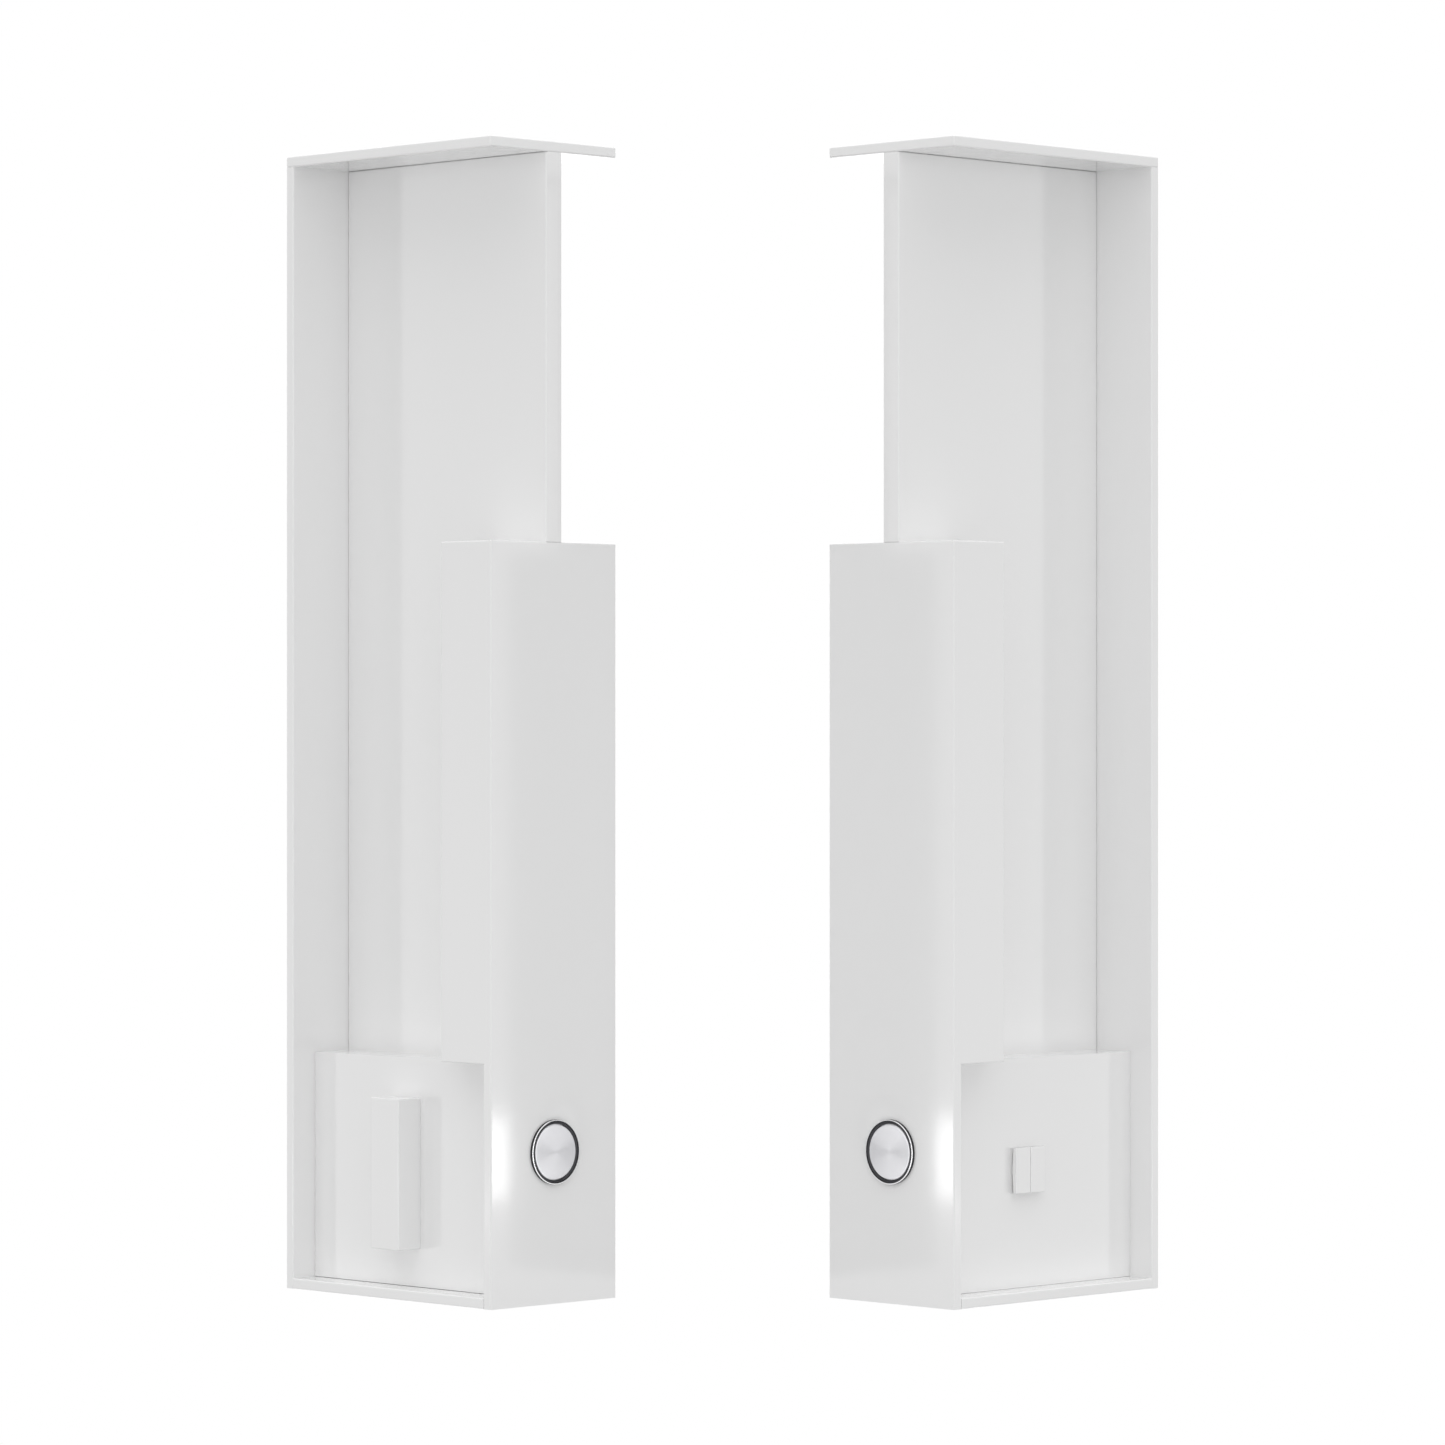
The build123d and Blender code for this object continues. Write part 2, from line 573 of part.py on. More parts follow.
spring_end = cap_back + SPRING_LENGTH
well_bottom = spring_end + BUTTON_TRAVEL + SPRING_WELL_CLEARANCE
stem_end = cap_back + STEM_LENGTH
bore_bottom = stem_end + BUTTON_TRAVEL + SPRING_WELL_CLEARANCE
contact_back = BARREL_LENGTH + CONTACT_LENGTH
with BuildPart() as contact_block:
    with BuildSketch(FRONT.offset(BARREL_LENGTH)):
        Circle(barrel_radius)
    extrude(amount=CONTACT_FLANGE)
    with BuildSketch(FRONT.offset(BARREL_LENGTH)):
        Rectangle(CONTACT_SIZE, CONTACT_SIZE)
    extrude(amount=CONTACT_LENGTH)
    with BuildSketch(FRONT.offset(BARREL_LENGTH)):
        Circle(SPRING_MEAN_RADIUS + SPRING_WIRE / 2 + SPRING_WELL_CLEARANCE)
    extrude(amount=well_bottom - BARREL_LENGTH, mode=Mode.SUBTRACT)
    with BuildSketch(FRONT.offset(BARREL_LENGTH)):
        Circle(STEM_DIAMETER / 2 + RUNNING_CLEARANCE)
    extrude(amount=bore_bottom - BARREL_LENGTH, mode=Mode.SUBTRACT)
contact_block.part.label = "contact_block"

# ---- electronics ----
supply_right = supply_left + SUPPLY_SIZE[0]
with BuildPart() as power_supply:
    block(
        (supply_left, supply_right), (supply_front, supply_front + SUPPLY_SIZE[1]),
        (PANEL, PANEL + SUPPLY_SIZE[2]),
    )
    fillet(power_supply.edges().filter_by(Axis.Z), EDGE_RADIUS)
    fillet(power_supply.faces().sort_by(Axis.Z)[-1].edges(), EDGE_RADIUS / 2)
power_supply.part.label = "power_supply"

board_top = BOARD_BOTTOM + BOARD_HEIGHT
with BuildPart() as controller_board:
    block(
        (board_face, board_face + BOARD_THICKNESS), (BOARD_FRONT, BOARD_FRONT + BOARD_DEPTH),
        (BOARD_BOTTOM, board_top),
    )
    drill(board_seats(), board_screw_length)
    raised = (board_face - CONNECTOR_HEIGHT, board_face)
    across = (board_middle - CONNECTOR_LENGTH / 2, board_middle + CONNECTOR_LENGTH / 2)
    upright = (BUTTON_HEIGHT - CONNECTOR_LENGTH / 2, BUTTON_HEIGHT + CONNECTOR_LENGTH / 2)
    block(raised, across, (BOARD_BOTTOM, BOARD_BOTTOM + CONNECTOR_WIDTH))
    block(raised, across, (board_top - CONNECTOR_WIDTH, board_top))
    block(raised, (BOARD_FRONT, BOARD_FRONT + CONNECTOR_WIDTH), upright)
    relay_x, relay_y, relay_z = RELAY_SIZE
    relay_bottom = BOARD_BOTTOM + (BOARD_HEIGHT - relay_z) / 2
    for number in range(RELAYS):
        middle = board_middle + (number - (RELAYS - 1) / 2) * (relay_y + RELAY_SPACE)
        block(
            (board_face - relay_x, board_face), (middle - relay_y / 2, middle + relay_y / 2),
            (relay_bottom, relay_bottom + relay_z),
        )
controller_board.part.label = "controller_board"

with BuildPart() as board_spacers:
    for seat in board_seats():
        with BuildSketch(seat.offset(-BOARD_THICKNESS)):
            Circle(SPACER_DIAMETER / 2)
            Circle(SCREW_DIAMETER / 2 + SCREW_CLEARANCE, mode=Mode.SUBTRACT)
        extrude(amount=-SPACER_LENGTH)
board_spacers.part.label = "board_spacers"

with BuildPart() as sounder:
    with BuildSketch(Plane.XY.offset(shelf_under - SOUNDER_HEIGHT)):
        with Locations((SOUNDER_X, SOUNDER_Y)):
            Circle(SOUNDER_DIAMETER / 2)
    extrude(amount=SOUNDER_HEIGHT)
    fillet(at(sounder.edges(), Axis.Z, shelf_under - SOUNDER_HEIGHT), EDGE_RADIUS)
    with BuildSketch(Plane.XY.offset(shelf_under - SOUNDER_HEIGHT)):
        with Locations((SOUNDER_X, SOUNDER_Y)):
            Circle(SOUNDER_MOUTH_DIAMETER / 2)
    extrude(amount=SOUNDER_MOUTH_DEPTH, mode=Mode.SUBTRACT)
sounder.part.label = "sounder"

# ---- leads: button to board, supply to board, board to antenna coil ----
supply_exit_z = PANEL + SUPPLY_SIZE[2] / 2
over_board = (board_top + shelf_under) / 2
coil_bottom = SHELF_TOP + WEB_RIM + COIL_GAP
connector_z = BUTTON_HEIGHT + BUTTON_LEAD_RISE
LEAD_ROUTES = [
    ([(0, contact_back, BUTTON_HEIGHT), (0, contact_back + BUTTON_LEAD_RUN, BUTTON_HEIGHT),
      (connector_x, BOARD_FRONT - BUTTON_LEAD_RUN, connector_z), (connector_x, BOARD_FRONT, connector_z)],
     BUTTON_LEAD_RADIUS),
    ([(supply_right, board_middle, supply_exit_z), (connector_x, board_middle, supply_exit_z),
      (connector_x, board_middle, BOARD_BOTTOM)], LEAD_RADIUS),
    ([(connector_x, board_middle, board_top), (connector_x, board_middle, over_board),
      (lead_x, board_middle, over_board), (lead_x, board_middle, coil_bottom)], LEAD_RADIUS),
]
with BuildPart() as leads:
    for points, bend in LEAD_ROUTES:
        with BuildLine() as route:
            FilletPolyline(*points, radius=bend)
        with BuildSketch(Plane(origin=route.line @ 0, z_dir=route.line % 0)):
            Circle(LEAD_DIAMETER / 2)
        sweep(path=route.line)
leads.part.label = "leads"

# ---- corner brackets and all the screws ----
panel_seats = front_seats + back_seats + base_seats + shelf_seats
with BuildPart() as brackets:
    for x, y, z, away_y, away_z in CORNERS:
        width = (x - BRACKET_WIDTH / 2, x + BRACKET_WIDTH / 2)
        block(width, (y, y + away_y * BRACKET_THICKNESS), (z, z + away_z * BRACKET_LEG))
        block(width, (y, y + away_y * BRACKET_LEG), (z, z + away_z * BRACKET_THICKNESS))
    drill(panel_seats)
brackets.part.label = "brackets"

with BuildPart() as screws:
    for seats, length in ((panel_seats, SCREW_LENGTH), (board_seats(), board_screw_length)):
        with Locations(*seats):
            Cylinder(SCREW_DIAMETER / 2, length, align=(Align.CENTER, Align.CENTER, Align.MAX))
            Cylinder(
                SCREW_HEAD_DIAMETER / 2, SCREW_HEAD_RIM, align=(Align.CENTER, Align.CENTER, Align.MIN),
            )
        with Locations(*[seat.offset(SCREW_HEAD_RIM) for seat in seats]):
            Cone(
                SCREW_HEAD_DIAMETER / 2, SCREW_HEAD_CROWN_DIAMETER / 2,
                SCREW_HEAD_HEIGHT - SCREW_HEAD_RIM, align=(Align.CENTER, Align.CENTER, Align.MIN),
            )
        with BuildSketch(*[seat.offset(SCREW_HEAD_HEIGHT) for seat in seats]):
            RegularPolygon(SCREW_SOCKET_RADIUS, 6)
        extrude(amount=-SCREW_SOCKET_DEPTH, mode=Mode.SUBTRACT)
screws.part.label = "screws"

PIECES = [
    back_panel, top_plate, base_plate, front_cover, box_back, web_tray, web_cover, antenna_coil, shelf,
    side_cover, service_door, door_pull, hinge_pins, door_magnet, switch_frame, rocker_front,
    rocker_rear, button_bezel, button_ring, button_cap, button_nut, button_spring, contact_block,
    power_supply, controller_board, board_spacers, sounder, leads, brackets, screws,
]

# ---- stand the two posts on the floor, mirror-fashion about the middle of the passage ----
turn = radians(YAW)
front_y = -(WIDTH * sin(turn) + DEPTH * cos(turn)) / 2
stand_x = CORNER_SPACING / 2 - side * cos(turn)
stand_y = front_y + side * sin(turn)
LEFT_STAND = Plane(origin=(-stand_x, stand_y, 0), x_dir=(cos(turn), sin(turn), 0), z_dir=(0, 0, 1))
RIGHT_STAND = Plane(origin=(stand_x, stand_y, 0), x_dir=(cos(turn), -sin(turn), 0), z_dir=(0, 0, 1))

os.makedirs("parts", exist_ok=True)
for post, stand in (("left", LEFT_STAND), ("right", RIGHT_STAND)):
    for piece in PIECES:
        placed = piece.part.moved(stand.location)
        placed.label = f"{post}_{piece.part.label}"
        export_step(placed, f"parts/{placed.label}.step")
for points, bend in LEAD_ROUTES:
    print("lead length:", round(FilletPolyline(*points, radius=bend).length, 1))
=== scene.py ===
"""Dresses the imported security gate: lacquered posts, push buttons and the works inside the lower bodies.

The file is laid out as an add-on.  Every piece is made by its own operator in the posts' own frames
and then put in place in the mesh, in metres.
"""
import json
import math

import bmesh
import bpy
import numpy as np
from bpy.props import FloatProperty, FloatVectorProperty, IntProperty, PointerProperty
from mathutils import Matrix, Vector


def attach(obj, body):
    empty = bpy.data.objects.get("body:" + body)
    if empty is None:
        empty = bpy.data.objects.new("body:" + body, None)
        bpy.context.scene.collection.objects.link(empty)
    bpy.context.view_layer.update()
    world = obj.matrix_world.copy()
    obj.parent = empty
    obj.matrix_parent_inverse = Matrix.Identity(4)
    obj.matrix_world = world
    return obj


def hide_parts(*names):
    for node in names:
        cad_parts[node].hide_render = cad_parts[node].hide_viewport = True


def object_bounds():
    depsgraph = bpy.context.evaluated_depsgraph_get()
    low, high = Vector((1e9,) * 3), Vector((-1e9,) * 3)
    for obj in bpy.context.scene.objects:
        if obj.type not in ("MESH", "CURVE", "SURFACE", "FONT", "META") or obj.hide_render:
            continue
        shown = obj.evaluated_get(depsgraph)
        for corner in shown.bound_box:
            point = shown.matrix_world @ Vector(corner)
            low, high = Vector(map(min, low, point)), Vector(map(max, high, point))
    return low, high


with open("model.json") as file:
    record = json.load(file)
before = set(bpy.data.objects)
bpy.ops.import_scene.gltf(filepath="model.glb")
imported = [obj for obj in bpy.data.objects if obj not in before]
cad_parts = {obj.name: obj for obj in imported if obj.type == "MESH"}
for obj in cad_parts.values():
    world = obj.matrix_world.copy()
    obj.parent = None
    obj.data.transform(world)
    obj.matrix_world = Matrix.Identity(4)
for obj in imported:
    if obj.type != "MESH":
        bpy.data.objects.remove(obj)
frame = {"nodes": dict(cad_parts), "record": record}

bl_info = {
    "name": "Security gate posts",
    "version": (1, 0, 0),
    "blender": (4, 5, 0),
    "location": "View3D > Sidebar > Security Gate",
    "description": "Finishes, buttons and electronics for a pair of retail security gate posts",
    "category": "Add Mesh",
}

cad_low, cad_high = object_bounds()

# Studio brightness round the gate, the same to both sides: in front, beside and behind it.
WALL_GLOW = (1.4, 0.4, 0.9)
FLOOR_GLOW = (0.9, 0.7, 0.7)
OVERHEAD_GLOW = 2.4
OVERHEAD_STARTS = 0.5               # upward share of a direction where the walls blend into the ceiling


# The posts' own frames: X across the width, Y from the front face to the back, Z up.
class Post:
    """One post's frame, measured from its top plate, and what turns and where."""

    def __init__(self, name, turn):
        self.name = name
        self.axes = np.array(
            [[math.cos(turn), math.sin(turn), 0], [-math.sin(turn), math.cos(turn), 0], [0, 0, 1]]
        )
        self.origin = np.zeros(3)
        low, high = self.span("top_plate")
        self.origin = np.array([(low[0] + high[0]) / 2, low[1], 0.0]) @ self.axes

    def span(self, node):
        """Lowest and highest corner of one of the post's nodes, in the post's frame."""
        mesh = frame["nodes"][f"{self.name}_{node}"].data
        flat = np.empty(len(mesh.vertices) * 3, np.float32)
        mesh.vertices.foreach_get("co", flat)
        own = (flat.reshape(-1, 3) - self.origin) @ self.axes.T
        return own.min(0), own.max(0)

    def place(self, points):
        """Points of the post's frame, in the shared frame."""
        return points @ self.axes + self.origin


POSTS = (Post("left", math.radians(45)), Post("right", math.radians(-45)))


# Surfaces.  Each is an array of points, rows by columns, worked out whole.
def lathe(profile, centre, sides, axis=1):
    """A profile of (radius, distance) turned about a line through centre along one axis: across the
    line the points are r cos a and r sin a, and along it they are the distance."""
    radius, along = np.asarray(profile, float).T
    angle = np.linspace(0, 2 * math.pi, sides + 1)
    points = np.empty((len(radius), sides + 1, 3))
    points[..., (axis + 1) % 3] = np.outer(radius, np.cos(angle))
    points[..., (axis + 2) % 3] = np.outer(radius, np.sin(angle))
    points[..., axis] = along[:, None]
    return points + np.asarray(centre, float)


def arc(centre, radius, start, end, count):
    """Points on a circle from one angle to another, in degrees."""
    angle = np.radians(np.linspace(start, end, count))
    return np.stack([centre[0] + radius * np.cos(angle), centre[1] + radius * np.sin(angle)], -1)


def threaded(radius, depth, pitch, start, end, centre, sides):
    """A screw thread about a line along Y: the radius falls by depth in a triangle wave of the distance
    along the line less the turned share of one pitch."""
    along = np.arange(start, end, pitch / 4)
    angle = np.linspace(0, 2 * math.pi, sides + 1)
    phase = along[:, None] / pitch - angle / (2 * math.pi)
    wave = np.abs(2 * (phase - np.floor(phase)) - 1)
    r = radius - depth * wave
    x = centre[0] + r * np.sin(angle)
    z = centre[2] + r * np.cos(angle)
    return np.stack([x, np.broadcast_to(along[:, None], r.shape) + centre[1], z], -1)


def rounded_block(low, high, corner, edge, axis=2, steps=5):
    """A block with rounded corners and edges.  Its outline is four quarter circles of radius corner
    less an inset, and the inset and the height follow a quarter circle of radius edge at both ends."""
    order = [(axis + 1) % 3, (axis + 2) % 3, axis]
    low, high = np.asarray(low, float)[order], np.asarray(high, float)[order]
    turn = np.linspace(0, math.pi / 2, steps)
    inset = edge * np.concatenate([1 - np.sin(turn), 1 - np.sin(turn[::-1])])
    height = np.concatenate([low[2] + edge * (1 - np.cos(turn)), high[2] - edge * (1 - np.cos(turn[::-1]))])
    angle = (np.arange(4)[:, None] * math.pi / 2 + turn).ravel()
    middle, half = (low + high)[:2] / 2, (high - low)[:2] / 2 - corner
    side_x = np.repeat([1, -1, -1, 1], steps) * half[0]
    side_y = np.repeat([1, 1, -1, -1], steps) * half[1]
    radius = corner - inset[:, None]
    points = np.stack(
        [
            middle[0] + side_x + radius * np.cos(angle),
            middle[1] + side_y + radius * np.sin(angle),
            np.broadcast_to(height[:, None], (len(height), len(angle))),
        ],
        -1,
    )
    points = np.concatenate([points, points[:, :1]], 1)
    out = np.empty_like(points)
    out[..., order] = points
    return out


def rounded_loop(corners, radius, steps):
    """A closed path through corners in a plane, each one rounded: the arc's middle lies on the corner's
    bisector, and its angle runs evenly between the two sides' normals."""
    corners = np.asarray(corners, float)
    back = np.roll(corners, 1, 0) - corners
    ahead = np.roll(corners, -1, 0) - corners
    back /= np.linalg.norm(back, axis=1, keepdims=True)
    ahead /= np.linalg.norm(ahead, axis=1, keepdims=True)
    half = np.arccos((back * ahead).sum(1)) / 2
    bisector = back + ahead
    bisector /= np.linalg.norm(bisector, axis=1, keepdims=True)
    middle = corners + bisector * (radius / np.sin(half))[:, None]
    side = np.cross(back, ahead)
    turn = (math.pi / 2 - half)[:, None] * np.linspace(1, -1, steps) * np.sign(side)[:, None]
    start = np.arctan2(-bisector[:, 1], -bisector[:, 0])
    angle = start[:, None] + turn
    points = middle[:, None] + radius * np.stack([np.cos(angle), np.sin(angle)], -1)
    return points.reshape(-1, 2)


def tube(path, radius, sides, up=(0.0, 0.0, 1.0), closed=False):
    """A circle carried along a path: each ring stands square to the path's tangent, turned so that
    its first point lies square to up."""
    path = np.asarray(path, float)
    if closed:
        tangent = np.roll(path, -1, 0) - np.roll(path, 1, 0)
        path, tangent = np.concatenate([path, path[:1]]), np.concatenate([tangent, tangent[:1]])
    else:
        tangent = np.gradient(path, axis=0)
    tangent /= np.linalg.norm(tangent, axis=1, keepdims=True)
    first = np.cross(tangent, np.asarray(up, float))
    first /= np.linalg.norm(first, axis=1, keepdims=True)
    second = np.cross(tangent, first)
    angle = np.linspace(0, 2 * math.pi, sides + 1)
    ring = first[:, None] * np.cos(angle)[:, None] + second[:, None] * np.sin(angle)[:, None]
    return path[:, None] + radius * ring


class Piece:
    """Gathers surfaces, then joins them as one closed mesh with its finishes."""

    def __init__(self, post, name):
        self.post, self.name = post, name
        self.points, self.quads, self.caps, self.finish, self.cap_finish, self.uv = [], [], [], [], [], []
        self.count = 0

    def add(self, grid, finish=0, capped=True):
        """One surface.  Its columns close on themselves, and open end rows are capped flat."""
        rows, columns = grid.shape[:2]
        index = self.count + np.arange(rows * columns).reshape(rows, columns)
        quads = np.stack([index[:-1, :-1], index[:-1, 1:], index[1:, 1:], index[1:, :-1]], -1).reshape(-1, 4)
        u, v = np.meshgrid(np.linspace(0, 1, columns), np.linspace(0, 1, rows))
        place = np.stack([u, v], -1)
        corners = np.stack([place[:-1, :-1], place[:-1, 1:], place[1:, 1:], place[1:, :-1]], -2)
        self.points.append(grid.reshape(-1, 3))
        self.quads.append(quads)
        self.uv.append(corners.reshape(-1, 2))
        self.finish += [finish] * len(quads)
        if capped:
            self.caps += [index[0, :-1].tolist(), index[-1, :-1][::-1].tolist()]
            self.cap_finish += [finish] * 2
        self.count += rows * columns

    def build(self, body, node, slot_name, *others, crease=35):
        """The finished object, riding on its body in place of a node: the slot's finish, then others."""
        mesh = bpy.data.meshes.new(f"{self.post.name}_{self.name}")
        points = self.post.place(np.concatenate(self.points))
        quads = np.concatenate(self.quads)
        mesh.from_pydata(points.tolist(), [], quads.tolist() + self.caps)
        layer = mesh.uv_layers.new(name="around")
        uv = np.zeros((len(mesh.loops), 2), np.float32)
        flat = np.concatenate(self.uv)
        uv[: len(flat)] = flat
        layer.data.foreach_set("uv", uv.ravel())
        mesh.polygons.foreach_set("material_index", self.finish + self.cap_finish)
        mesh.polygons.foreach_set("use_smooth", [True] * len(mesh.polygons))
        close_mesh(mesh, crease)
        for material in (finish_of(slot_name), *others):
            mesh.materials.append(material)
        piece = bpy.data.objects.new(f"{self.post.name}_{self.name}", mesh)
        bpy.context.scene.collection.objects.link(piece)
        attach(piece, f"{self.post.name}_{body}")
        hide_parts(f"{self.post.name}_{node}")


def close_mesh(mesh, crease):
    """Joins the seams and poles, points the faces outwards and keeps edges sharper than crease."""
    work = bmesh.new()
    work.from_mesh(mesh)
    bmesh.ops.remove_doubles(work, verts=work.verts, dist=1e-7)
    bmesh.ops.recalc_face_normals(work, faces=work.faces)
    work.to_mesh(mesh)
    work.free()
    mesh.set_sharp_from_angle(angle=math.radians(crease))


# Finishes
def shade(colour, share):
    """A colour at a share of its brightness."""
    return tuple(min(1.0, share * c) for c in colour)


class Finish:
    """A material under construction: a Principled shader and the patterns that feed it."""

    def __init__(self, name, colour, roughness, **sockets):
        self.material = bpy.data.materials.new(name)
        self.material.use_nodes = True
        self.tree = self.material.node_tree
        self.shader = self.tree.nodes["Principled BSDF"]
        self.shader.inputs["Base Color"].default_value = (*colour, 1)
        self.shader.inputs["Roughness"].default_value = roughness
        for socket, value in sockets.items():
            self.shader.inputs[socket.replace("_", " ")].default_value = value
        self.colour, self.roughness = colour, roughness

    def node(self, kind, **values):
        made = self.tree.nodes.new(kind)
        for key, value in values.items():
            setattr(made, key, value)
        return made

    def link(self, source, target):
        self.tree.links.new(source, target)

    def where(self, stretch=(1, 1, 1)):
        """Object coordinates in metres, stretched."""
        coordinates = self.node("ShaderNodeTexCoord")
        mapping = self.node("ShaderNodeMapping")
        mapping.inputs["Scale"].default_value = stretch
        self.link(coordinates.outputs["Object"], mapping.inputs["Vector"])
        return mapping.outputs["Vector"]

    def noise(self, size, detail=2.0, stretch=(1, 1, 1), where=None):
        """Noise whose blotches are about size across, in metres."""
        texture = self.node("ShaderNodeTexNoise")
        texture.inputs["Scale"].default_value = 1 / size
        texture.inputs["Detail"].default_value = detail
        self.link(where or self.where(stretch), texture.inputs["Vector"])
        return texture.outputs["Fac"]

    def spread(self, source, low, high):
        """A pattern of 0 to 1 spread over low to high."""
        ranged = self.node("ShaderNodeMapRange")
        ranged.inputs["To Min"].default_value = low
        ranged.inputs["To Max"].default_value = high
        self.link(source, ranged.inputs["Value"])
        return ranged.outputs["Result"]

    def vary_roughness(self, pattern, amount):
        self.link(
            self.spread(pattern, self.roughness - amount, self.roughness + amount),
            self.shader.inputs["Roughness"],
        )

    def tint(self, pattern, other):
        """The colour wanders to other where the pattern is high."""
        blend = self.node("ShaderNodeMix", data_type="RGBA")
        self.link(pattern, blend.inputs["Factor"])
        blend.inputs["A"].default_value = (*self.colour, 1)
        blend.inputs["B"].default_value = (*other, 1)
        self.link(blend.outputs["Result"], self.shader.inputs["Base Color"])

    def relief(self, *layers):
        """Bumps, each a pattern and its height in metres."""
        normal = None
        for pattern, height in layers:
            bump = self.node("ShaderNodeBump")
            bump.inputs["Distance"].default_value = height
            self.link(pattern, bump.inputs["Height"])
            if normal is not None:
                self.link(normal, bump.inputs["Normal"])
            normal = bump.outputs["Normal"]
        self.link(normal, self.shader.inputs["Normal"])


def white_lacquer(settings):
    """Sprayed white gloss: a clear top layer, orange peel a couple of millimetres across and fine grain."""
    made = Finish(
        "white_lacquer", settings.lacquer_colour, settings.lacquer_roughness,
        IOR=1.5, Coat_Weight=0.8, Coat_Roughness=settings.coat_roughness, Coat_IOR=1.5,
    )
    cloud = made.noise(0.09, 3)
    warm = shade(settings.lacquer_colour, 0.99)
    made.tint(made.spread(cloud, 0.0, 0.5), warm)
    made.vary_roughness(made.noise(0.03, 3), 0.02)
    peel = made.noise(settings.peel_size, 2)
    grain = made.noise(settings.peel_size / 4, 2)
    made.relief((peel, settings.peel_depth), (grain, settings.peel_depth / 5))
    bump = made.tree.nodes[-1]
    made.link(bump.outputs["Normal"], made.shader.inputs["Coat Normal"])
    return made.material


def white_moulding(settings):
    """Moulded white plastic with a faint spark-eroded texture."""
    made = Finish(
        "white_moulding", settings.lacquer_colour, 0.24, IOR=1.5, Coat_Weight=0.6, Coat_Roughness=0.12,
    )
    made.vary_roughness(made.noise(0.004, 3), 0.04)
    made.relief((made.noise(0.0006, 3), 0.000012))
    return made.material


def polished_bezel(settings):
    """Polished stainless steel with a lapped surface."""
    made = Finish("polished_bezel", settings.bezel_colour, 0.12, Metallic=1.0)
    made.vary_roughness(made.noise(0.003, 4), 0.04)
    made.relief((made.noise(0.0012, 2), 0.000004))
    return made.material


def chrome_with_painted_dark_reflection(settings):
    """Nearly a mirror, with its colour painted nearly black: a painted dark reflection in place of the dark
    surroundings that chrome mirrors.
    """
    made = Finish("chrome_with_painted_dark_reflection", settings.ring_colour, 0.08, Metallic=1.0)
    made.vary_roughness(made.noise(0.002, 3), 0.03)
    made.tint(made.noise(0.006, 3), shade(settings.ring_colour, 0.7))
    return made.material


def spun_steel(settings):
    """Steel faced on a lathe: fine rings about the middle, which draw the light out along radii."""
    made = Finish(
        "spun_steel", settings.cap_colour, settings.cap_roughness,
        Metallic=1.0, Anisotropic=settings.cap_anisotropy,
    )
    tangent = made.node("ShaderNodeTangent", direction_type="UV_MAP", uv_map="around")
    made.link(tangent.outputs["Tangent"], made.shader.inputs["Tangent"])
    coordinates = made.node("ShaderNodeUVMap", uv_map="around")
    mapping = made.node("ShaderNodeMapping")
    mapping.inputs["Scale"].default_value = (3.0, 260.0, 1.0)
    made.link(coordinates.outputs["UV"], mapping.inputs["Vector"])
    rings = made.noise(1.0, 4, where=mapping.outputs["Vector"])
    made.tint(made.spread(rings, 0.0, 0.6), shade(settings.cap_colour, 0.9))
    made.vary_roughness(rings, 0.06)
    return made.material


def zinc_steel(settings):
    """Bright zinc plate with a faint spangle."""
    made = Finish("zinc_steel", settings.steel_colour, 0.32, Metallic=1.0)
    made.tint(made.noise(0.004, 3), shade(settings.steel_colour, 0.8))
    made.vary_roughness(made.noise(0.0015, 3), 0.09)
    made.relief((made.noise(0.0008, 2), 0.00001))
    return made.material


def black_plastic(settings):
    """Black glass-filled nylon, matt and slightly mottled."""
    made = Finish("black_plastic", (0.028, 0.028, 0.03), 0.5)
    made.tint(made.noise(0.003, 4), (0.045, 0.045, 0.047))
    made.vary_roughness(made.noise(0.0012, 3), 0.12)
    made.relief((made.noise(0.0005, 3), 0.00002))
    return made.material


def natural_nylon(settings):
    """Uncoloured nylon, milky and waxy."""
    made = Finish("natural_nylon", (0.76, 0.74, 0.66), 0.4, Subsurface_Weight=0.25, Subsurface_Scale=0.002)
    made.tint(made.noise(0.002, 2), (0.7, 0.67, 0.58))
    made.relief((made.noise(0.0007, 2), 0.00001))
    return made.material


def powder_coat(settings):
    """Grey powder coat over pressed steel, with its pebbled skin."""
    made = Finish("powder_coat", settings.case_colour, 0.45, Coat_Weight=0.15, Coat_Roughness=0.3)
    made.tint(made.noise(0.02, 3), shade(settings.case_colour, 0.88))
    made.relief((made.noise(0.0011, 2), 0.00005))
    return made.material


def solder_mask(settings):
    """Green solder mask with raised tracks running square across it under the lacquer."""
    made = Finish("solder_mask", settings.board_colour, 0.28, Coat_Weight=0.5, Coat_Roughness=0.15)
    tracks = made.node("ShaderNodeTexBrick", offset=0.35, squash=0.6, squash_frequency=3)
    tracks.inputs["Scale"].default_value = 1.0
    tracks.inputs["Mortar Size"].default_value = 0.0006
    tracks.inputs["Mortar Smooth"].default_value = 0.2
    tracks.inputs["Brick Width"].default_value = 0.017
    tracks.inputs["Row Height"].default_value = 0.0045
    tracks.inputs["Color1"].default_value = (0, 0, 0, 1)
    tracks.inputs["Color2"].default_value = (0, 0, 0, 1)
    tracks.inputs["Mortar"].default_value = (1, 1, 1, 1)
    coordinates = made.node("ShaderNodeTexCoord")
    mapping = made.node("ShaderNodeMapping", vector_type="TEXTURE")
    mapping.inputs["Rotation"].default_value = (math.radians(90), 0, math.radians(-45))
    made.link(coordinates.outputs["Object"], mapping.inputs["Vector"])
    made.link(mapping.outputs["Vector"], tracks.inputs["Vector"])
    made.tint(tracks.outputs["Fac"], shade(settings.board_colour, 2.1))
    made.relief((tracks.outputs["Fac"], 0.00004))
    return made.material


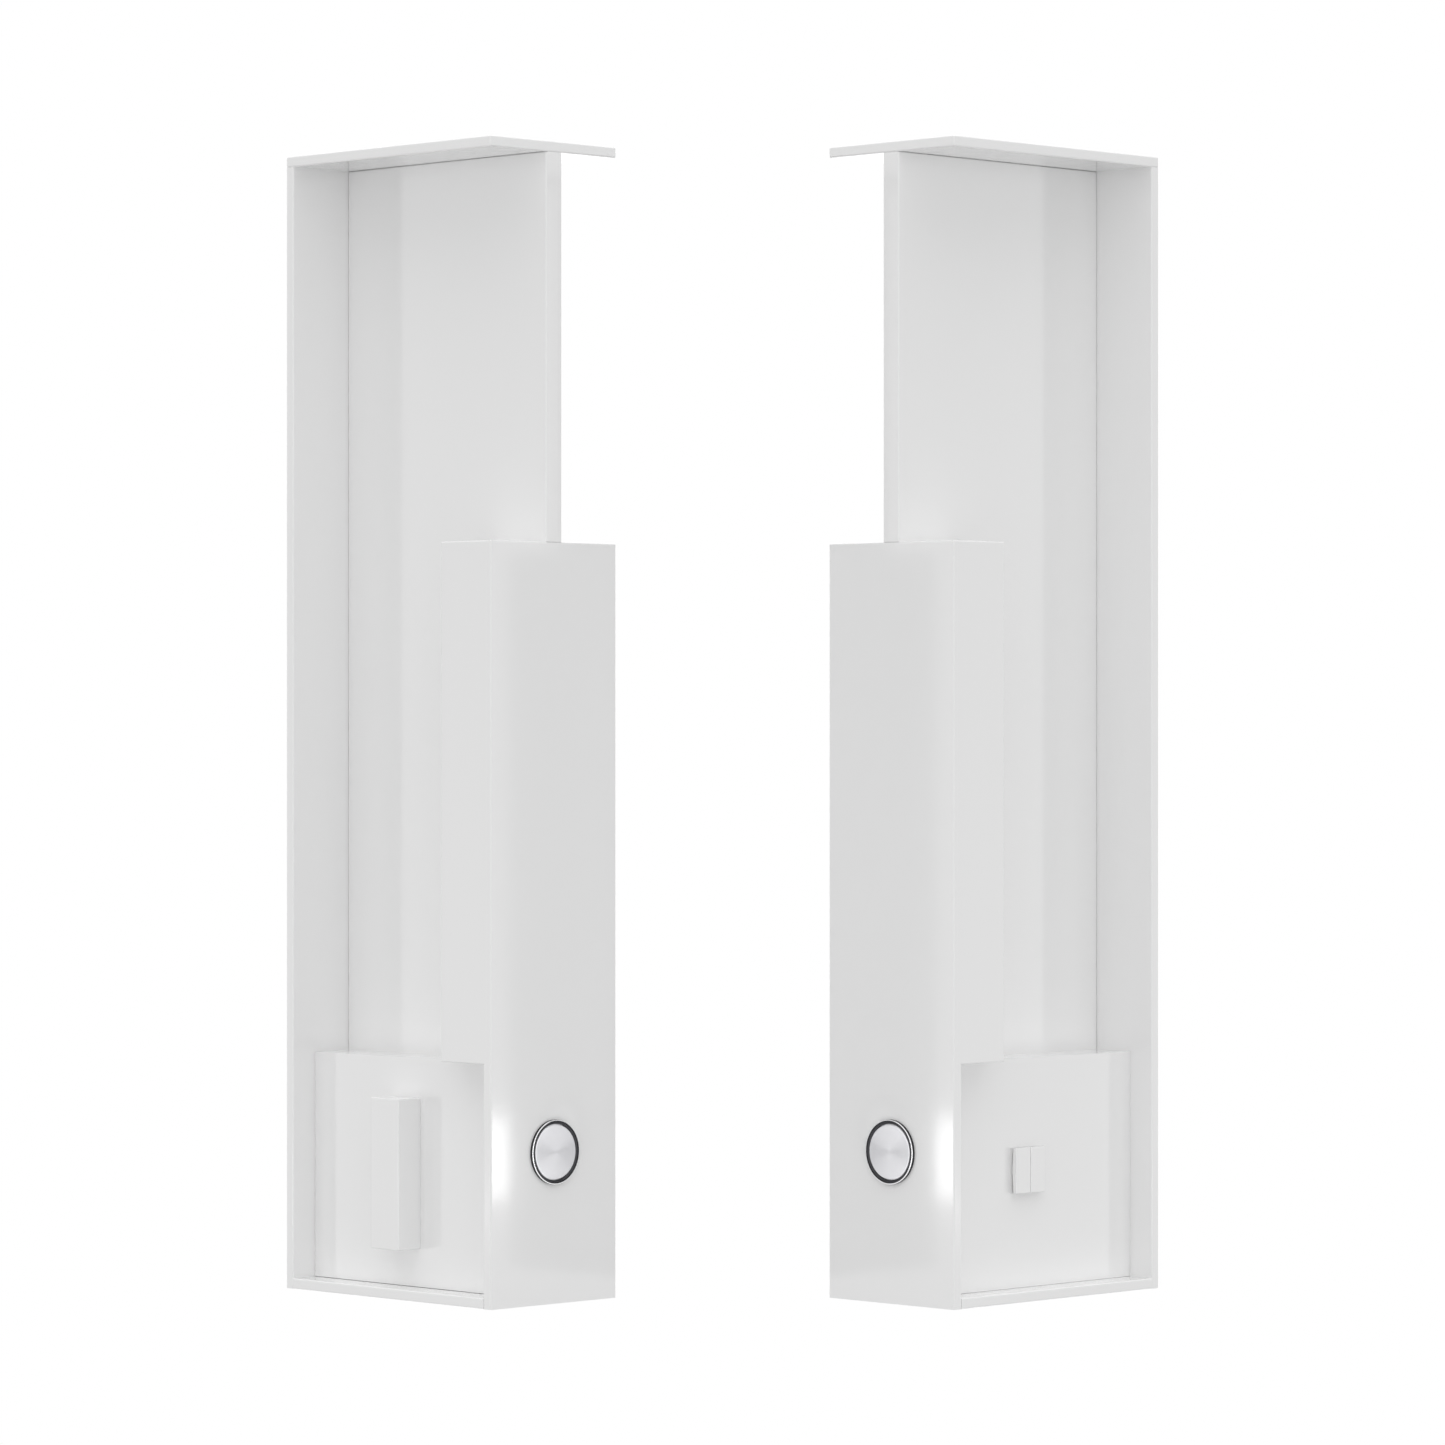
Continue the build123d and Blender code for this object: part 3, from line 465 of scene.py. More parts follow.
def enamelled_copper(settings):
    """Copper wire under clear enamel."""
    made = Finish(
        "enamelled_copper", settings.copper_colour, 0.25, Metallic=1.0, Coat_Weight=0.8, Coat_Roughness=0.1,
    )
    made.tint(made.noise(0.01, 3), shade(settings.copper_colour, 0.7))
    made.vary_roughness(made.noise(0.002, 2), 0.08)
    return made.material


def lead_sheath(settings):
    """Black PVC sheath, slightly waxy."""
    made = Finish("lead_sheath", (0.03, 0.03, 0.032), 0.42)
    made.tint(made.noise(0.006, 3), (0.05, 0.05, 0.052))
    made.relief((made.noise(0.0015, 3), 0.00003))
    return made.material


def component(name, colour, roughness, metallic=0.0, grain=0.0006):
    """A small electronic part: plain colour with a fine moulded or tinned grain."""
    made = Finish(name, colour, roughness, Metallic=metallic)
    made.tint(made.noise(grain * 8, 3), shade(colour, 0.82))
    made.vary_roughness(made.noise(grain * 2, 2), 0.06)
    made.relief((made.noise(grain, 2), 0.000012))
    return made.material


SLOT_FINISHES = {
    "white_gloss": white_lacquer,
    "white_moulding": white_moulding,
    "bezel_metal": polished_bezel,
    "ring_chrome": chrome_with_painted_dark_reflection,
    "cap_steel": spun_steel,
    "hardware_steel": zinc_steel,
    "black_plastic": black_plastic,
    "spacer_nylon": natural_nylon,
    "supply_case": powder_coat,
    "circuit_board": solder_mask,
    "coil_copper": enamelled_copper,
    "lead_sheath": lead_sheath,
}


def finish_of(slot_name):
    """The material of one of the record's slots, made when it is first asked for."""
    maker = SLOT_FINISHES[slot_name]
    return bpy.data.materials.get(maker.__name__) or maker(bpy.context.scene.gate_finishes)


TINNED_LEAD = ("tinned_lead", (0.75, 0.75, 0.76), 0.25, 1.0)


def part_finish(name, *recipe, **more):
    """A component's material, made when it is first asked for."""
    return bpy.data.materials.get(name) or component(name, *recipe, **more)


# What a user would change
def length(name, default, description):
    """A setting that is a length in metres."""
    return FloatProperty(name=name, description=description, default=default, unit="LENGTH")


def share(name, default, description):
    """A setting from 0 to 1."""
    return FloatProperty(name=name, description=description, default=default, min=0, max=1, subtype="FACTOR")


def strength(name, default, description):
    """A brightness or a power."""
    return FloatProperty(name=name, description=description, default=default, min=0)


def colour(name, default, description):
    """A colour setting."""
    return FloatVectorProperty(
        name=name, description=description, default=default, subtype="COLOR", min=0, max=1)


def count(name, default, description, fewest=1):
    """A whole number."""
    return IntProperty(name=name, description=description, default=default, min=fewest)


class GateStageSettings(bpy.types.PropertyGroup):
    focal_length: FloatProperty(
        name="Focal Length", description="Camera lens", default=140.9, unit="CAMERA")
    camera_distance: length("Camera Distance", 7.438, "From the camera to the middle of the gate")
    floor_size: length("Floor Size", 80.0, "Side of the square floor")
    backdrop: strength("Backdrop", 1.0, "Brightness of floor and background as seen")
    studio_glow: strength("Studio Glow", 0.71, "Scales all the light that falls on the gate")
    studio_shine: strength("Studio Shine", 1.4, "Brightness that gloss reflects")
    low_light_reach: length("Low Light Reach", 1.4, "From the middle of the gate out to each low light")
    low_light_ahead: length("Low Light Ahead", 0.29, "In front of the middle of the gate")
    low_light_height: length("Low Light Height", 0.03, "Of the low lights above the floor")
    low_light_size: length("Low Light Size", 0.2, "Diameter of each low light")
    low_light_power: strength("Low Light Power", 0.5, "Watts of each low light")


class GateFinishSettings(bpy.types.PropertyGroup):
    lacquer_colour: colour("Lacquer", (0.96, 0.96, 0.96), "Colour of the posts")
    lacquer_roughness: share("Lacquer Roughness", 0.14, "Roughness under the clear layer")
    coat_roughness: share("Coat Roughness", 0.05, "Roughness of the clear layer")
    peel_size: length("Orange Peel Size", 0.003, "Width of the ripples in the lacquer")
    peel_depth: length("Orange Peel Depth", 0.00003, "Height of the ripples")
    bezel_colour: colour("Bezel", (0.82, 0.82, 0.83), "Colour of the button's flange")
    # Painted dark reflection: a near-black metal colour for the chrome ring and the flange's side wall, in
    # place of the dark surroundings they would mirror.
    ring_colour: colour("Ring", (0.06, 0.06, 0.065), "Colour of the dark ring round the cap")
    cap_colour: colour("Cap", (0.76, 0.76, 0.78), "Colour of the button's cap")
    cap_roughness: share("Cap Roughness", 0.3, "Roughness of the spun face")
    cap_anisotropy: share("Cap Anisotropy", 0.85, "How far the rings draw out the light")
    steel_colour: colour("Steel", (0.62, 0.63, 0.65), "Colour of screws, brackets and springs")
    case_colour: colour("Supply Case", (0.3, 0.31, 0.33), "Colour of the power supply")
    board_colour: colour("Circuit Board", (0.02, 0.16, 0.07), "Colour of the solder mask")
    copper_colour: colour("Copper", (0.72, 0.33, 0.16), "Colour of the coil's wire")


class GateButtonSettings(bpy.types.PropertyGroup):
    sides: count("Sides", 160, "Facets round the button", fewest=24)
    cap_edge: length("Cap Edge", 0.0007, "Chamfer round the cap")
    cap_thickness: length("Cap Thickness", 0.014, "From the cap's face to its back")
    cap_clearance: length("Cap Clearance", 0.00005, "Between the cap or stem and its bore")
    stem_radius: length("Stem Radius", 0.005, "Of the cap's stem")
    ring_clearance: length("Ring Clearance", 0.0005, "Between the cap and the ring")
    flange_rim: length("Flange Rim", 0.001, "Rounding of the flange's outer edge")
    thread_depth: length("Thread Depth", 0.0007, "Of the barrel's screw thread")
    thread_pitch: length("Thread Pitch", 0.0015, "Of the barrel's screw thread")
    nut_edge: length("Nut Edge", 0.0008, "Chamfer round the ring nut")
    notch_depth: length("Notch Depth", 0.003, "Of the ring nut's spanner notches")
    notches: count("Notches", 6, "Round the ring nut", fewest=2)
    spring_wire: length("Spring Wire", 0.0014, "Diameter of the spring's wire")
    spring_turns: count("Spring Turns", 6, "Of the return spring", fewest=2)
    neck_radius: length("Neck Radius", 0.018, "Of the contact block's adapter")
    neck_wall: length("Neck Wall", 0.002, "Behind the plunger's bore")
    well_clearance: length("Well Clearance", 0.001, "Round the spring")
    plunger_room: length("Plunger Room", 0.005, "Travel and spare room behind the stem")
    contact_plate: length("Contact Plate", 0.004, "Thickness of the adapter's plate")
    contact_half_width: length("Contact Half Width", 0.02, "Of the two switch blocks together")
    contact_gap: length("Contact Gap", 0.0012, "Between the two switch blocks")


class GateBoardSettings(bpy.types.PropertyGroup):
    board_thickness: length("Board Thickness", 0.0016, "Of the bare board")
    relay_width: length("Relay Width", 0.022, "Across the board")
    relay_height: length("Relay Height", 0.028, "Up the board")
    relay_step: length("Relay Step", 0.029, "From one relay's middle to the next")
    terminal_depth: length("Terminal Depth", 0.012, "From the board's face")
    terminal_width: length("Terminal Width", 0.014, "Of a terminal block")
    terminal_length: length("Terminal Length", 0.024, "Of a terminal block")
    terminal_rise: length("Terminal Rise", 0.036, "Button's terminals above the board's middle")
    chip_lift: length("Chip Lift", 0.0002, "Gap between a chip and the board")


class GateSupplySettings(bpy.types.PropertyGroup):
    sheet: length("Sheet", 0.0012, "Thickness of the case's metal")
    lid_depth: length("Lid Depth", 0.012, "How far the lid comes down the sides")
    louvre_rise: length("Louvre Rise", 0.0012, "Height of the louvres")
    louvre_width: length("Louvre Width", 0.004, "Of one louvre")
    front_margin: length("Front Margin", 0.016, "From the case's front to the first louvre")
    back_margin: length("Back Margin", 0.022, "From the last louvre to the case's back")
    slot_rise: length("Slot Rise", 0.0006, "Height of the slots along the sides")
    louvres: count("Louvres", 8, "In one column")
    strip_depth: length("Strip Depth", 0.009, "Of the terminal strip")
    strip_height: length("Strip Height", 0.012, "Of the terminal strip")
    poles: count("Poles", 5, "Of the terminal strip", fewest=2)


class GateCoilSettings(bpy.types.PropertyGroup):
    bundle_width: length("Bundle Width", 0.012, "From the winding's outside to its inside")
    corner_radius: length("Corner Radius", 0.004, "Of the strands at the corners")
    layers: count("Layers", 4, "From outside to inside")
    strands: count("Strands", 5, "Side by side in one layer")


# Stage
class GATE_OT_stage(bpy.types.Operator):
    """Camera, pale floor and soft studio light"""

    bl_idname = "security_gate.stage"
    bl_label = "Stage"

    def execute(self, context):
        settings = context.scene.gate_stage
        self.set_camera(context.scene, settings)
        self.lay_floor(context.scene, settings)
        self.light_room(context.scene, settings)
        self.add_low_lights(context.scene, settings)
        context.scene.view_settings.view_transform = "Standard"
        return {"FINISHED"}

    def set_camera(self, scene, settings):
        """Level with the middle of the posts, looking along Y."""
        data = bpy.data.cameras.new("gate_camera")
        data.lens, data.sensor_width = settings.focal_length, 36.0
        data.clip_end = 200.0
        camera = bpy.data.objects.new("gate_camera", data)
        camera.location = (0, -settings.camera_distance, (cad_low.z + cad_high.z) / 2)
        camera.rotation_euler = (math.radians(90), 0, 0)
        scene.collection.objects.link(camera)
        scene.camera = camera

    def lay_floor(self, scene, settings):
        half = settings.floor_size / 2
        mesh = bpy.data.meshes.new("floor")
        corners = [(x * half, y * half, cad_low.z) for x, y in ((-1, -1), (1, -1), (1, 1), (-1, 1))]
        mesh.from_pydata(corners, [], [(0, 1, 2, 3)])
        floor = bpy.data.objects.new("floor", mesh)
        material = bpy.data.materials.new("pale_floor")
        material.use_nodes = True
        tree = material.node_tree
        tree.nodes.remove(tree.nodes["Principled BSDF"])
        glow = tree.nodes.new("ShaderNodeEmission")
        place = tree.nodes.new("ShaderNodeNewGeometry").outputs["Position"]
        lit = glow_round(tree, place, FLOOR_GLOW)
        tree.links.new(by_ray(tree, settings, lit), glow.inputs["Strength"])
        tree.links.new(glow.outputs["Emission"], tree.nodes["Material Output"].inputs["Surface"])
        mesh.materials.append(material)
        scene.collection.objects.link(floor)

    def light_room(self, scene, settings):
        """A soft glow from all round: strongest overhead, then in front of the gate."""
        world = bpy.data.worlds.new("studio")
        world.use_nodes = True
        scene.world = world
        tree = world.node_tree
        direction = tree.nodes.new("ShaderNodeTexCoord").outputs["Generated"]
        split = tree.nodes.new("ShaderNodeSeparateXYZ")
        tree.links.new(direction, split.inputs["Vector"])
        rise = tree.nodes.new("ShaderNodeMapRange")
        rise.inputs["From Min"].default_value = OVERHEAD_STARTS
        tree.links.new(split.outputs["Z"], rise.inputs["Value"])
        blend = tree.nodes.new("ShaderNodeMix")
        tree.links.new(rise.outputs["Result"], blend.inputs["Factor"])
        tree.links.new(glow_round(tree, direction, WALL_GLOW), blend.inputs["A"])
        blend.inputs["B"].default_value = OVERHEAD_GLOW
        lit = by_ray(tree, settings, blend.outputs["Result"])
        tree.links.new(lit, tree.nodes["Background"].inputs["Strength"])
        tree.nodes["Background"].inputs["Color"].default_value = (1, 1, 1, 1)

    def add_low_lights(self, scene, settings):
        """A small soft disc to each side near the floor, for the glints low on the gloss."""
        for side in (-1, 1):
            data = bpy.data.lights.new("low_light", "AREA")
            data.shape, data.size = "DISK", settings.low_light_size
            data.energy = settings.low_light_power
            light = bpy.data.objects.new("low_light", data)
            gate_middle = Vector((0, cad_low.y / 2 + cad_high.y / 2, settings.low_light_height))
            light.location = gate_middle + Vector(
                (side * settings.low_light_reach, -settings.low_light_ahead, 0))
            light.rotation_euler = (gate_middle - light.location).to_track_quat("-Z", "Y").to_euler()
            light.visible_camera = False
            scene.collection.objects.link(light)


def arithmetic(tree, operation, *values):
    """A Math node; each value is a number or a socket."""
    node = tree.nodes.new("ShaderNodeMath")
    node.operation = operation
    for socket, value in zip(node.inputs, values):
        if isinstance(value, bpy.types.NodeSocket):
            tree.links.new(value, socket)
        else:
            socket.default_value = value
    return node.outputs["Value"]


def glow_round(tree, direction, levels):
    """Brightness by how far a direction is turned from the gate's front, through even steps of levels."""
    split = tree.nodes.new("ShaderNodeSeparateXYZ")
    tree.links.new(direction, split.inputs["Vector"])
    aside = arithmetic(tree, "ABSOLUTE", split.outputs["X"])
    ahead = arithmetic(tree, "MULTIPLY", split.outputs["Y"], -1.0)
    turn = arithmetic(tree, "DIVIDE", arithmetic(tree, "ARCTAN2", aside, ahead), math.pi)
    ramp = tree.nodes.new("ShaderNodeValToRGB")
    stops = ramp.color_ramp.elements
    while len(stops) < len(levels):
        stops.new(0.5)
    for place, (stop, level) in enumerate(zip(stops, levels)):
        stop.position = place / (len(levels) - 1)
        stop.color = (level / max(levels),) * 3 + (1,)
    tree.links.new(turn, ramp.inputs["Fac"])
    return arithmetic(tree, "MULTIPLY", ramp.outputs["Color"], max(levels))


def by_ray(tree, settings, lit):
    """A brightness for what is seen straight, what lights the surfaces and what gloss reflects."""
    ray = tree.nodes.new("ShaderNodeLightPath")
    glossy = tree.nodes.new("ShaderNodeMix")
    camera = tree.nodes.new("ShaderNodeMix")
    tree.links.new(ray.outputs["Is Glossy Ray"], glossy.inputs["Factor"])
    tree.links.new(ray.outputs["Is Camera Ray"], camera.inputs["Factor"])
    tree.links.new(arithmetic(tree, "MULTIPLY", lit, settings.studio_glow), glossy.inputs["A"])
    glossy.inputs["B"].default_value = settings.studio_shine
    tree.links.new(glossy.outputs["Result"], camera.inputs["A"])
    camera.inputs["B"].default_value = settings.backdrop
    return camera.outputs["Result"]


# Pieces
class GATE_OT_finishes(bpy.types.Operator):
    """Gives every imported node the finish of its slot"""

    bl_idname = "security_gate.finishes"
    bl_label = "Finishes"

    def execute(self, context):
        for row in frame["record"]["subparts"]:
            mesh = frame["nodes"][row["node"]].data
            mesh.materials.clear()
            mesh.materials.append(finish_of(row["material_slot"]))
        return {"FINISHED"}


def button_centre(post):
    """The push button's middle, on the front face."""
    low, high = post.span("button_cap")
    return np.array([(low[0] + high[0]) / 2, 0.0, (low[2] + high[2]) / 2])


def reach(post, node):
    """Half of a round node's width: its radius."""
    low, high = post.span(node)
    return float(high[0] - low[0]) / 2


class GATE_OT_button_faces(bpy.types.Operator):
    """Push button cap, dark ring and polished bezel on each post"""

    bl_idname = "security_gate.button_faces"
    bl_label = "Button Faces"

    def execute(self, context):
        settings = context.scene.gate_button
        for post in POSTS:
            centre = button_centre(post)
            self.make_cap(post, centre, settings)
            self.make_ring(post, centre, settings)
            self.make_bezel(post, centre, settings)
        return {"FINISHED"}

    def make_cap(self, post, centre, settings):
        """Turned: a flat face, a chamfer, the skirt, the back and the stem."""
        low, high = post.span("button_cap")
        radius, edge = reach(post, "button_cap"), settings.cap_edge
        face, back = low[1], low[1] + settings.cap_thickness
        across = np.linspace(0, radius - edge, 24)
        profile = [(r, face) for r in across] + [
            (radius, face + edge), (radius, back), (settings.stem_radius, back),
            (settings.stem_radius, high[1]), (0, high[1]),
        ]
        piece = Piece(post, "turned_cap")
        piece.add(lathe(profile, centre, settings.sides), capped=False)
        piece.build("button", "button_cap", "cap_steel", crease=25)

    def make_ring(self, post, centre, settings):
        """Turned: a rounded crest, closed round its flat back."""
        low, high = post.span("button_ring")
        outer = reach(post, "button_ring")
        inner = reach(post, "button_cap") + settings.ring_clearance
        middle, half = (outer + inner) / 2, (outer - inner) / 2
        turn = np.linspace(0, math.pi, 17)
        crown = np.stack([middle - half * np.cos(turn), high[1] - (high[1] - low[1]) * np.sin(turn)], -1)
        profile = np.concatenate([crown, crown[:1]])
        piece = Piece(post, "ring")
        piece.add(lathe(profile, centre, settings.sides), capped=False)
        # The ring's near-black metal colour is a painted dark reflection on chrome.
        piece.build("post", "button_ring", "ring_chrome", crease=60)

    def make_bezel(self, post, centre, settings):
        """Turned: the flange with its rounded rim and ring seat, and a barrel with a screw thread. The side
        wall and barrel take the near-black ring finish, a painted dark reflection.
        """
        low, high = post.span("button_bezel")
        flange, seat_radius = reach(post, "button_bezel"), reach(post, "button_ring")
        seat = post.span("button_ring")[1][1]
        bore = reach(post, "button_cap") + settings.cap_clearance
        barrel = reach(post, "contact_block")
        rim = settings.flange_rim
        panel = post.span("button_nut")[0][1]
        head = [(bore, panel), (bore, seat), (seat_radius, seat), (seat_radius, low[1])]
        rim_centre = (flange - rim, low[1] + rim)
        face = lathe(np.concatenate([head, arc(rim_centre, rim, -90, -45, 5)]), centre, settings.sides)
        wall = [(flange, 0), (barrel, 0), (barrel, panel)]
        side = np.concatenate([arc(rim_centre, rim, -45, 0, 5), wall])
        thread = threaded(
            barrel, settings.thread_depth, settings.thread_pitch, panel, high[1], centre, settings.sides,
        )
        tail = [(barrel - settings.thread_depth, high[1]), (bore, high[1]), (bore, panel)]
        piece = Piece(post, "bezel")
        piece.add(face, capped=False)
        # The flange's side wall and the barrel take the ring's near-black finish: painted dark reflection on
        # the polished bezel.
        piece.add(np.concatenate([lathe(side, centre, settings.sides), thread]), finish=1, capped=False)
        piece.add(np.concatenate([thread[-1:], lathe(tail, centre, settings.sides)]), capped=False)
        piece.build("post", "button_bezel", "bezel_metal", finish_of("ring_chrome"), crease=30)


class GATE_OT_button_works(bpy.types.Operator):
    """Ring nut, return spring and contact block behind each front face"""

    bl_idname = "security_gate.button_works"
    bl_label = "Button Works"

    # A terminal's profile from its recess to its foot, its depth, and its place as a share of the block.
    SCREW = (
        (0, 0.0006), (0.0008, 0.0006), (0.0008, 0), (0.003, 0), (0.0034, -0.0006), (0.0034, -0.004),
        (0, -0.004),
    )
    SCREW_SUNK = 0.0022
    SCREW_PLACE = 0.62

    def execute(self, context):
        settings = context.scene.gate_button
        for post in POSTS:
            centre = button_centre(post)
            self.make_nut(post, centre, settings)
            self.make_spring(post, centre, settings)
            self.make_contacts(post, centre, settings)
        return {"FINISHED"}

    def make_nut(self, post, centre, settings):
        """A ring whose outside dips at even turns, a power of a cosine, for the spanner's notches."""
        low, high = post.span("button_nut")
        outer, inner, edge = reach(post, "button_nut"), reach(post, "contact_block"), settings.nut_edge
        profile = np.array([
            (inner, low[1]), (outer - edge, low[1]), (outer, low[1] + edge), (outer, high[1] - edge),
            (outer - edge, high[1]), (inner, high[1]), (inner, low[1]),
        ])
        grid = lathe(profile, (0, 0, 0), settings.sides)
        angle = np.linspace(0, 2 * math.pi, settings.sides + 1)
        notch = settings.notch_depth * np.clip(np.cos(settings.notches * angle), 0, 1) ** 4
        radius = np.hypot(grid[..., 0], grid[..., 2])
        share = np.where(radius > inner + edge, 1 - notch / outer, 1.0)
        grid[..., 0] *= share
        grid[..., 2] *= share
        piece = Piece(post, "ring_nut")
        piece.add(grid + centre, capped=False)
        piece.build("post", "button_nut", "black_plastic", crease=30)

    def make_spring(self, post, centre, settings):
        """A round wire carried along a helix about the button's line."""
        low, high = post.span("button_spring")
        wire = settings.spring_wire
        radius = float(high[2] - low[2]) / 2 - wire / 2
        share = np.linspace(0, 1, settings.spring_turns * 32 + 1)
        angle = 2 * math.pi * settings.spring_turns * share
        along = low[1] + wire / 2 + (high[1] - low[1] - wire) * share
        path = centre + np.stack([radius * np.cos(angle), along, radius * np.sin(angle)], -1)
        piece = Piece(post, "spring")
        piece.add(tube(path, wire / 2, 12, up=(0, 1, 0)))
        piece.build("button", "button_spring", "hardware_steel")

    def make_contacts(self, post, centre, settings):
        """A round adapter with the plunger's bore, and two switch blocks with terminals sunk in them."""
        low, high = post.span("contact_block")
        flange, neck = reach(post, "contact_block"), settings.neck_radius
        well = reach(post, "button_spring") + settings.well_clearance
        stem_end = post.span("button_cap")[1][1]
        spring_end = post.span("button_spring")[1][1]
        floor = stem_end + settings.plunger_room
        ledge = spring_end + settings.plunger_room
        plate = low[1] + settings.contact_plate
        bore = settings.stem_radius + settings.cap_clearance
        start = floor + settings.neck_wall
        profile = [
            (0, floor), (bore, floor), (bore, ledge), (well, ledge), (well, low[1]), (flange, low[1]),
            (flange, plate), (neck, plate), (neck, start), (0, start),
        ]
        piece = Piece(post, "contacts")
        piece.add(lathe(profile, centre, 64), capped=False)
        half, gap = settings.contact_half_width, settings.contact_gap
        for side in (-1, 1):
            inner, outer = sorted((side * gap / 2, side * half))
            block_low = centre + (inner, start, -half)
            block_high = centre + (outer, high[1], half)
            piece.add(rounded_block(block_low, block_high, gap, gap / 2, axis=1))
            middle = (inner + outer) / 2
            for height in (-half * self.SCREW_PLACE, half * self.SCREW_PLACE):
                screw_centre = centre + (middle, high[1] - self.SCREW_SUNK, height)
                piece.add(lathe(self.SCREW, screw_centre, 20), finish=1, capped=False)
        brass = part_finish("brass_terminal", (0.75, 0.55, 0.25), 0.25, metallic=1.0)
        piece.build("post", "contact_block", "black_plastic", brass)


class GATE_OT_controller_board(bpy.types.Operator):
    """Controller board with its chips, relays, capacitors and terminal blocks"""

    bl_idname = "security_gate.controller_board"
    bl_label = "Controller Board"

    PARTS = (
        ("relay_case", (0.02, 0.1, 0.35), 0.3),
        ("terminal_green", (0.03, 0.3, 0.12), 0.35),
        ("chip_epoxy", (0.02, 0.02, 0.022), 0.45),
        TINNED_LEAD,
        ("capacitor_sleeve", (0.02, 0.03, 0.08), 0.3),
        ("bare_aluminium", (0.8, 0.8, 0.81), 0.3, 1.0),
        ("ceramic", (0.55, 0.42, 0.28), 0.4),
    )
    MASK, RELAY, TERMINAL, CHIP, TIN, SLEEVE, ALUMINIUM, CERAMIC = range(8)

    # Places on the board are distances from its lower edges, or from its upper edges where negative.
    SMALL_CHIPS = ((0.035, 0.036), (-0.024, 0.040), (-0.030, -0.034))
    CAPACITORS = (                      # place, radius and height
        (0.030, -0.036, 0.0065, 0.014), (0.046, -0.034, 0.005, 0.011), (-0.020, 0.020, 0.005, 0.011),
        (-0.034, 0.019, 0.004, 0.009), (0.022, 0.020, 0.004, 0.009),
    )
    LARGE_CHIP = (0.012, 0.040, 0.007)  # past the board's middle, above its lower edge, half its width
    SMALL_GRID = (0.062, -0.046)        # first of the small parts
    SMALL_STEP = (0.0065, 0.0052)       # from one small part to the next

    # Sizes of blocks: off the board, across it and up it.
    LARGE_LEG = (0.0007, 0.0005, 0.0018)
    SMALL_CHIP = (0.0018, 0.006, 0.0125)
    SMALL_LEG = (0.0008, 0.0018, 0.0006)
    SMALL_PART = (0.0008, 0.0012, 0.002)
    SMALL_END = (0.0009, 0.0013, 0.0005)

    # Corner and edge radii of blocks.
    RELAY_SOFT, FOOT_SOFT, TERMINAL_SOFT = (0.0015, 0.0008), (0.001, 0.0003), (0.001, 0.0005)
    LEG_SOFT, PART_SOFT = (0.0002, 0.0001), (0.0001, 0.00005)

    # Profiles of turned parts, face first.
    RELAY_DOT = ((0, 0), (0.0028, 0), (0.003, 0.0004), (0.003, 0.003), (0, 0.003))
    SCREW = (
        (0, 0.0007), (0.0007, 0.0007), (0.0012, 0), (0.0021, 0), (0.0023, 0.0004), (0.0023, 0.002),
        (0, 0.002),
    )

    def execute(self, context):
        settings = context.scene.gate_board
        for post in POSTS:
            low, high = post.span("controller_board")
            piece = Piece(post, "board")
            face = high[0] - settings.board_thickness
            piece.add(rounded_block((face, low[1], low[2]), high, 0.002, 0.0002, axis=0), self.MASK)
            self.add_relays(piece, face, low, high, settings)
            self.add_terminals(piece, face, low, high, settings)
            self.add_chips(piece, face, low, high, settings)
            self.add_capacitors(piece, face, low, high)
            self.add_small_parts(piece, face, low, high)
            parts = [part_finish(*recipe) for recipe in self.PARTS]
            piece.build("post", "controller_board", "circuit_board", *parts)
        return {"FINISHED"}

    def place(self, low, high, y, z):
        """A place on the board from its distances to the edges."""
        return (low[1] if y > 0 else high[1]) + y, (low[2] if z > 0 else high[2]) + z

    def part(self, piece, face, y, z, size, finish, soft=(0.0006, 0.0003), lift=0.0):
        """A block that stands on the board's face, with its middle at y and z."""
        deep, wide, tall = size
        low = (face - lift - deep, y - wide / 2, z - tall / 2)
        high = (face - lift, y + wide / 2, z + tall / 2)
        piece.add(rounded_block(low, high, *soft, axis=0), finish)

    def add_relays(self, piece, face, low, high, settings):
        """Three relays side by side, each on a flat foot and with a dot on its face."""
        wide, tall, lip = settings.relay_width, settings.relay_height, 0.0008
        body = (face - low[0] - 0.001, wide, tall)
        foot = (0.002, wide + lip, tall + lip)
        centre_y, z = (low[1] + high[1]) / 2, (low[2] + high[2]) / 2
        for number in (-1, 0, 1):
            y = centre_y + number * settings.relay_step
            self.part(piece, face, y, z, body, self.RELAY, self.RELAY_SOFT)
            self.part(piece, face, y, z, foot, self.CHIP, self.FOOT_SOFT)
            dot = lathe(self.RELAY_DOT, (low[0], y, z + tall * 0.3), 20, axis=0)
            piece.add(dot, self.RELAY, capped=False)

    def add_terminals(self, piece, face, low, high, settings):
        """Pluggable terminal blocks where the three leads arrive, with a screw for each pole."""
        deep, wide, long = settings.terminal_depth, settings.terminal_width, settings.terminal_length
        centre_y = (low[1] + high[1]) / 2
        button_z = (low[2] + high[2]) / 2 + settings.terminal_rise
        places = [
            (centre_y, low[2] + wide / 2, long, wide), (centre_y, high[2] - wide / 2, long, wide),
            (low[1] + wide / 2, button_z, wide, long),
        ]
        proud = 0.0003
        for y, z, across, upright in places:
            self.part(piece, face, y, z, (deep, across, upright), self.TERMINAL, self.TERMINAL_SOFT)
            for shift in np.linspace(-0.36, 0.36, 4) * long:
                screw_y, screw_z = (y + shift, z) if across > upright else (y, z + shift)
                screw = lathe(self.SCREW, (face - deep - proud, screw_y, screw_z), 16, axis=0)
                piece.add(screw, self.TIN, capped=False)

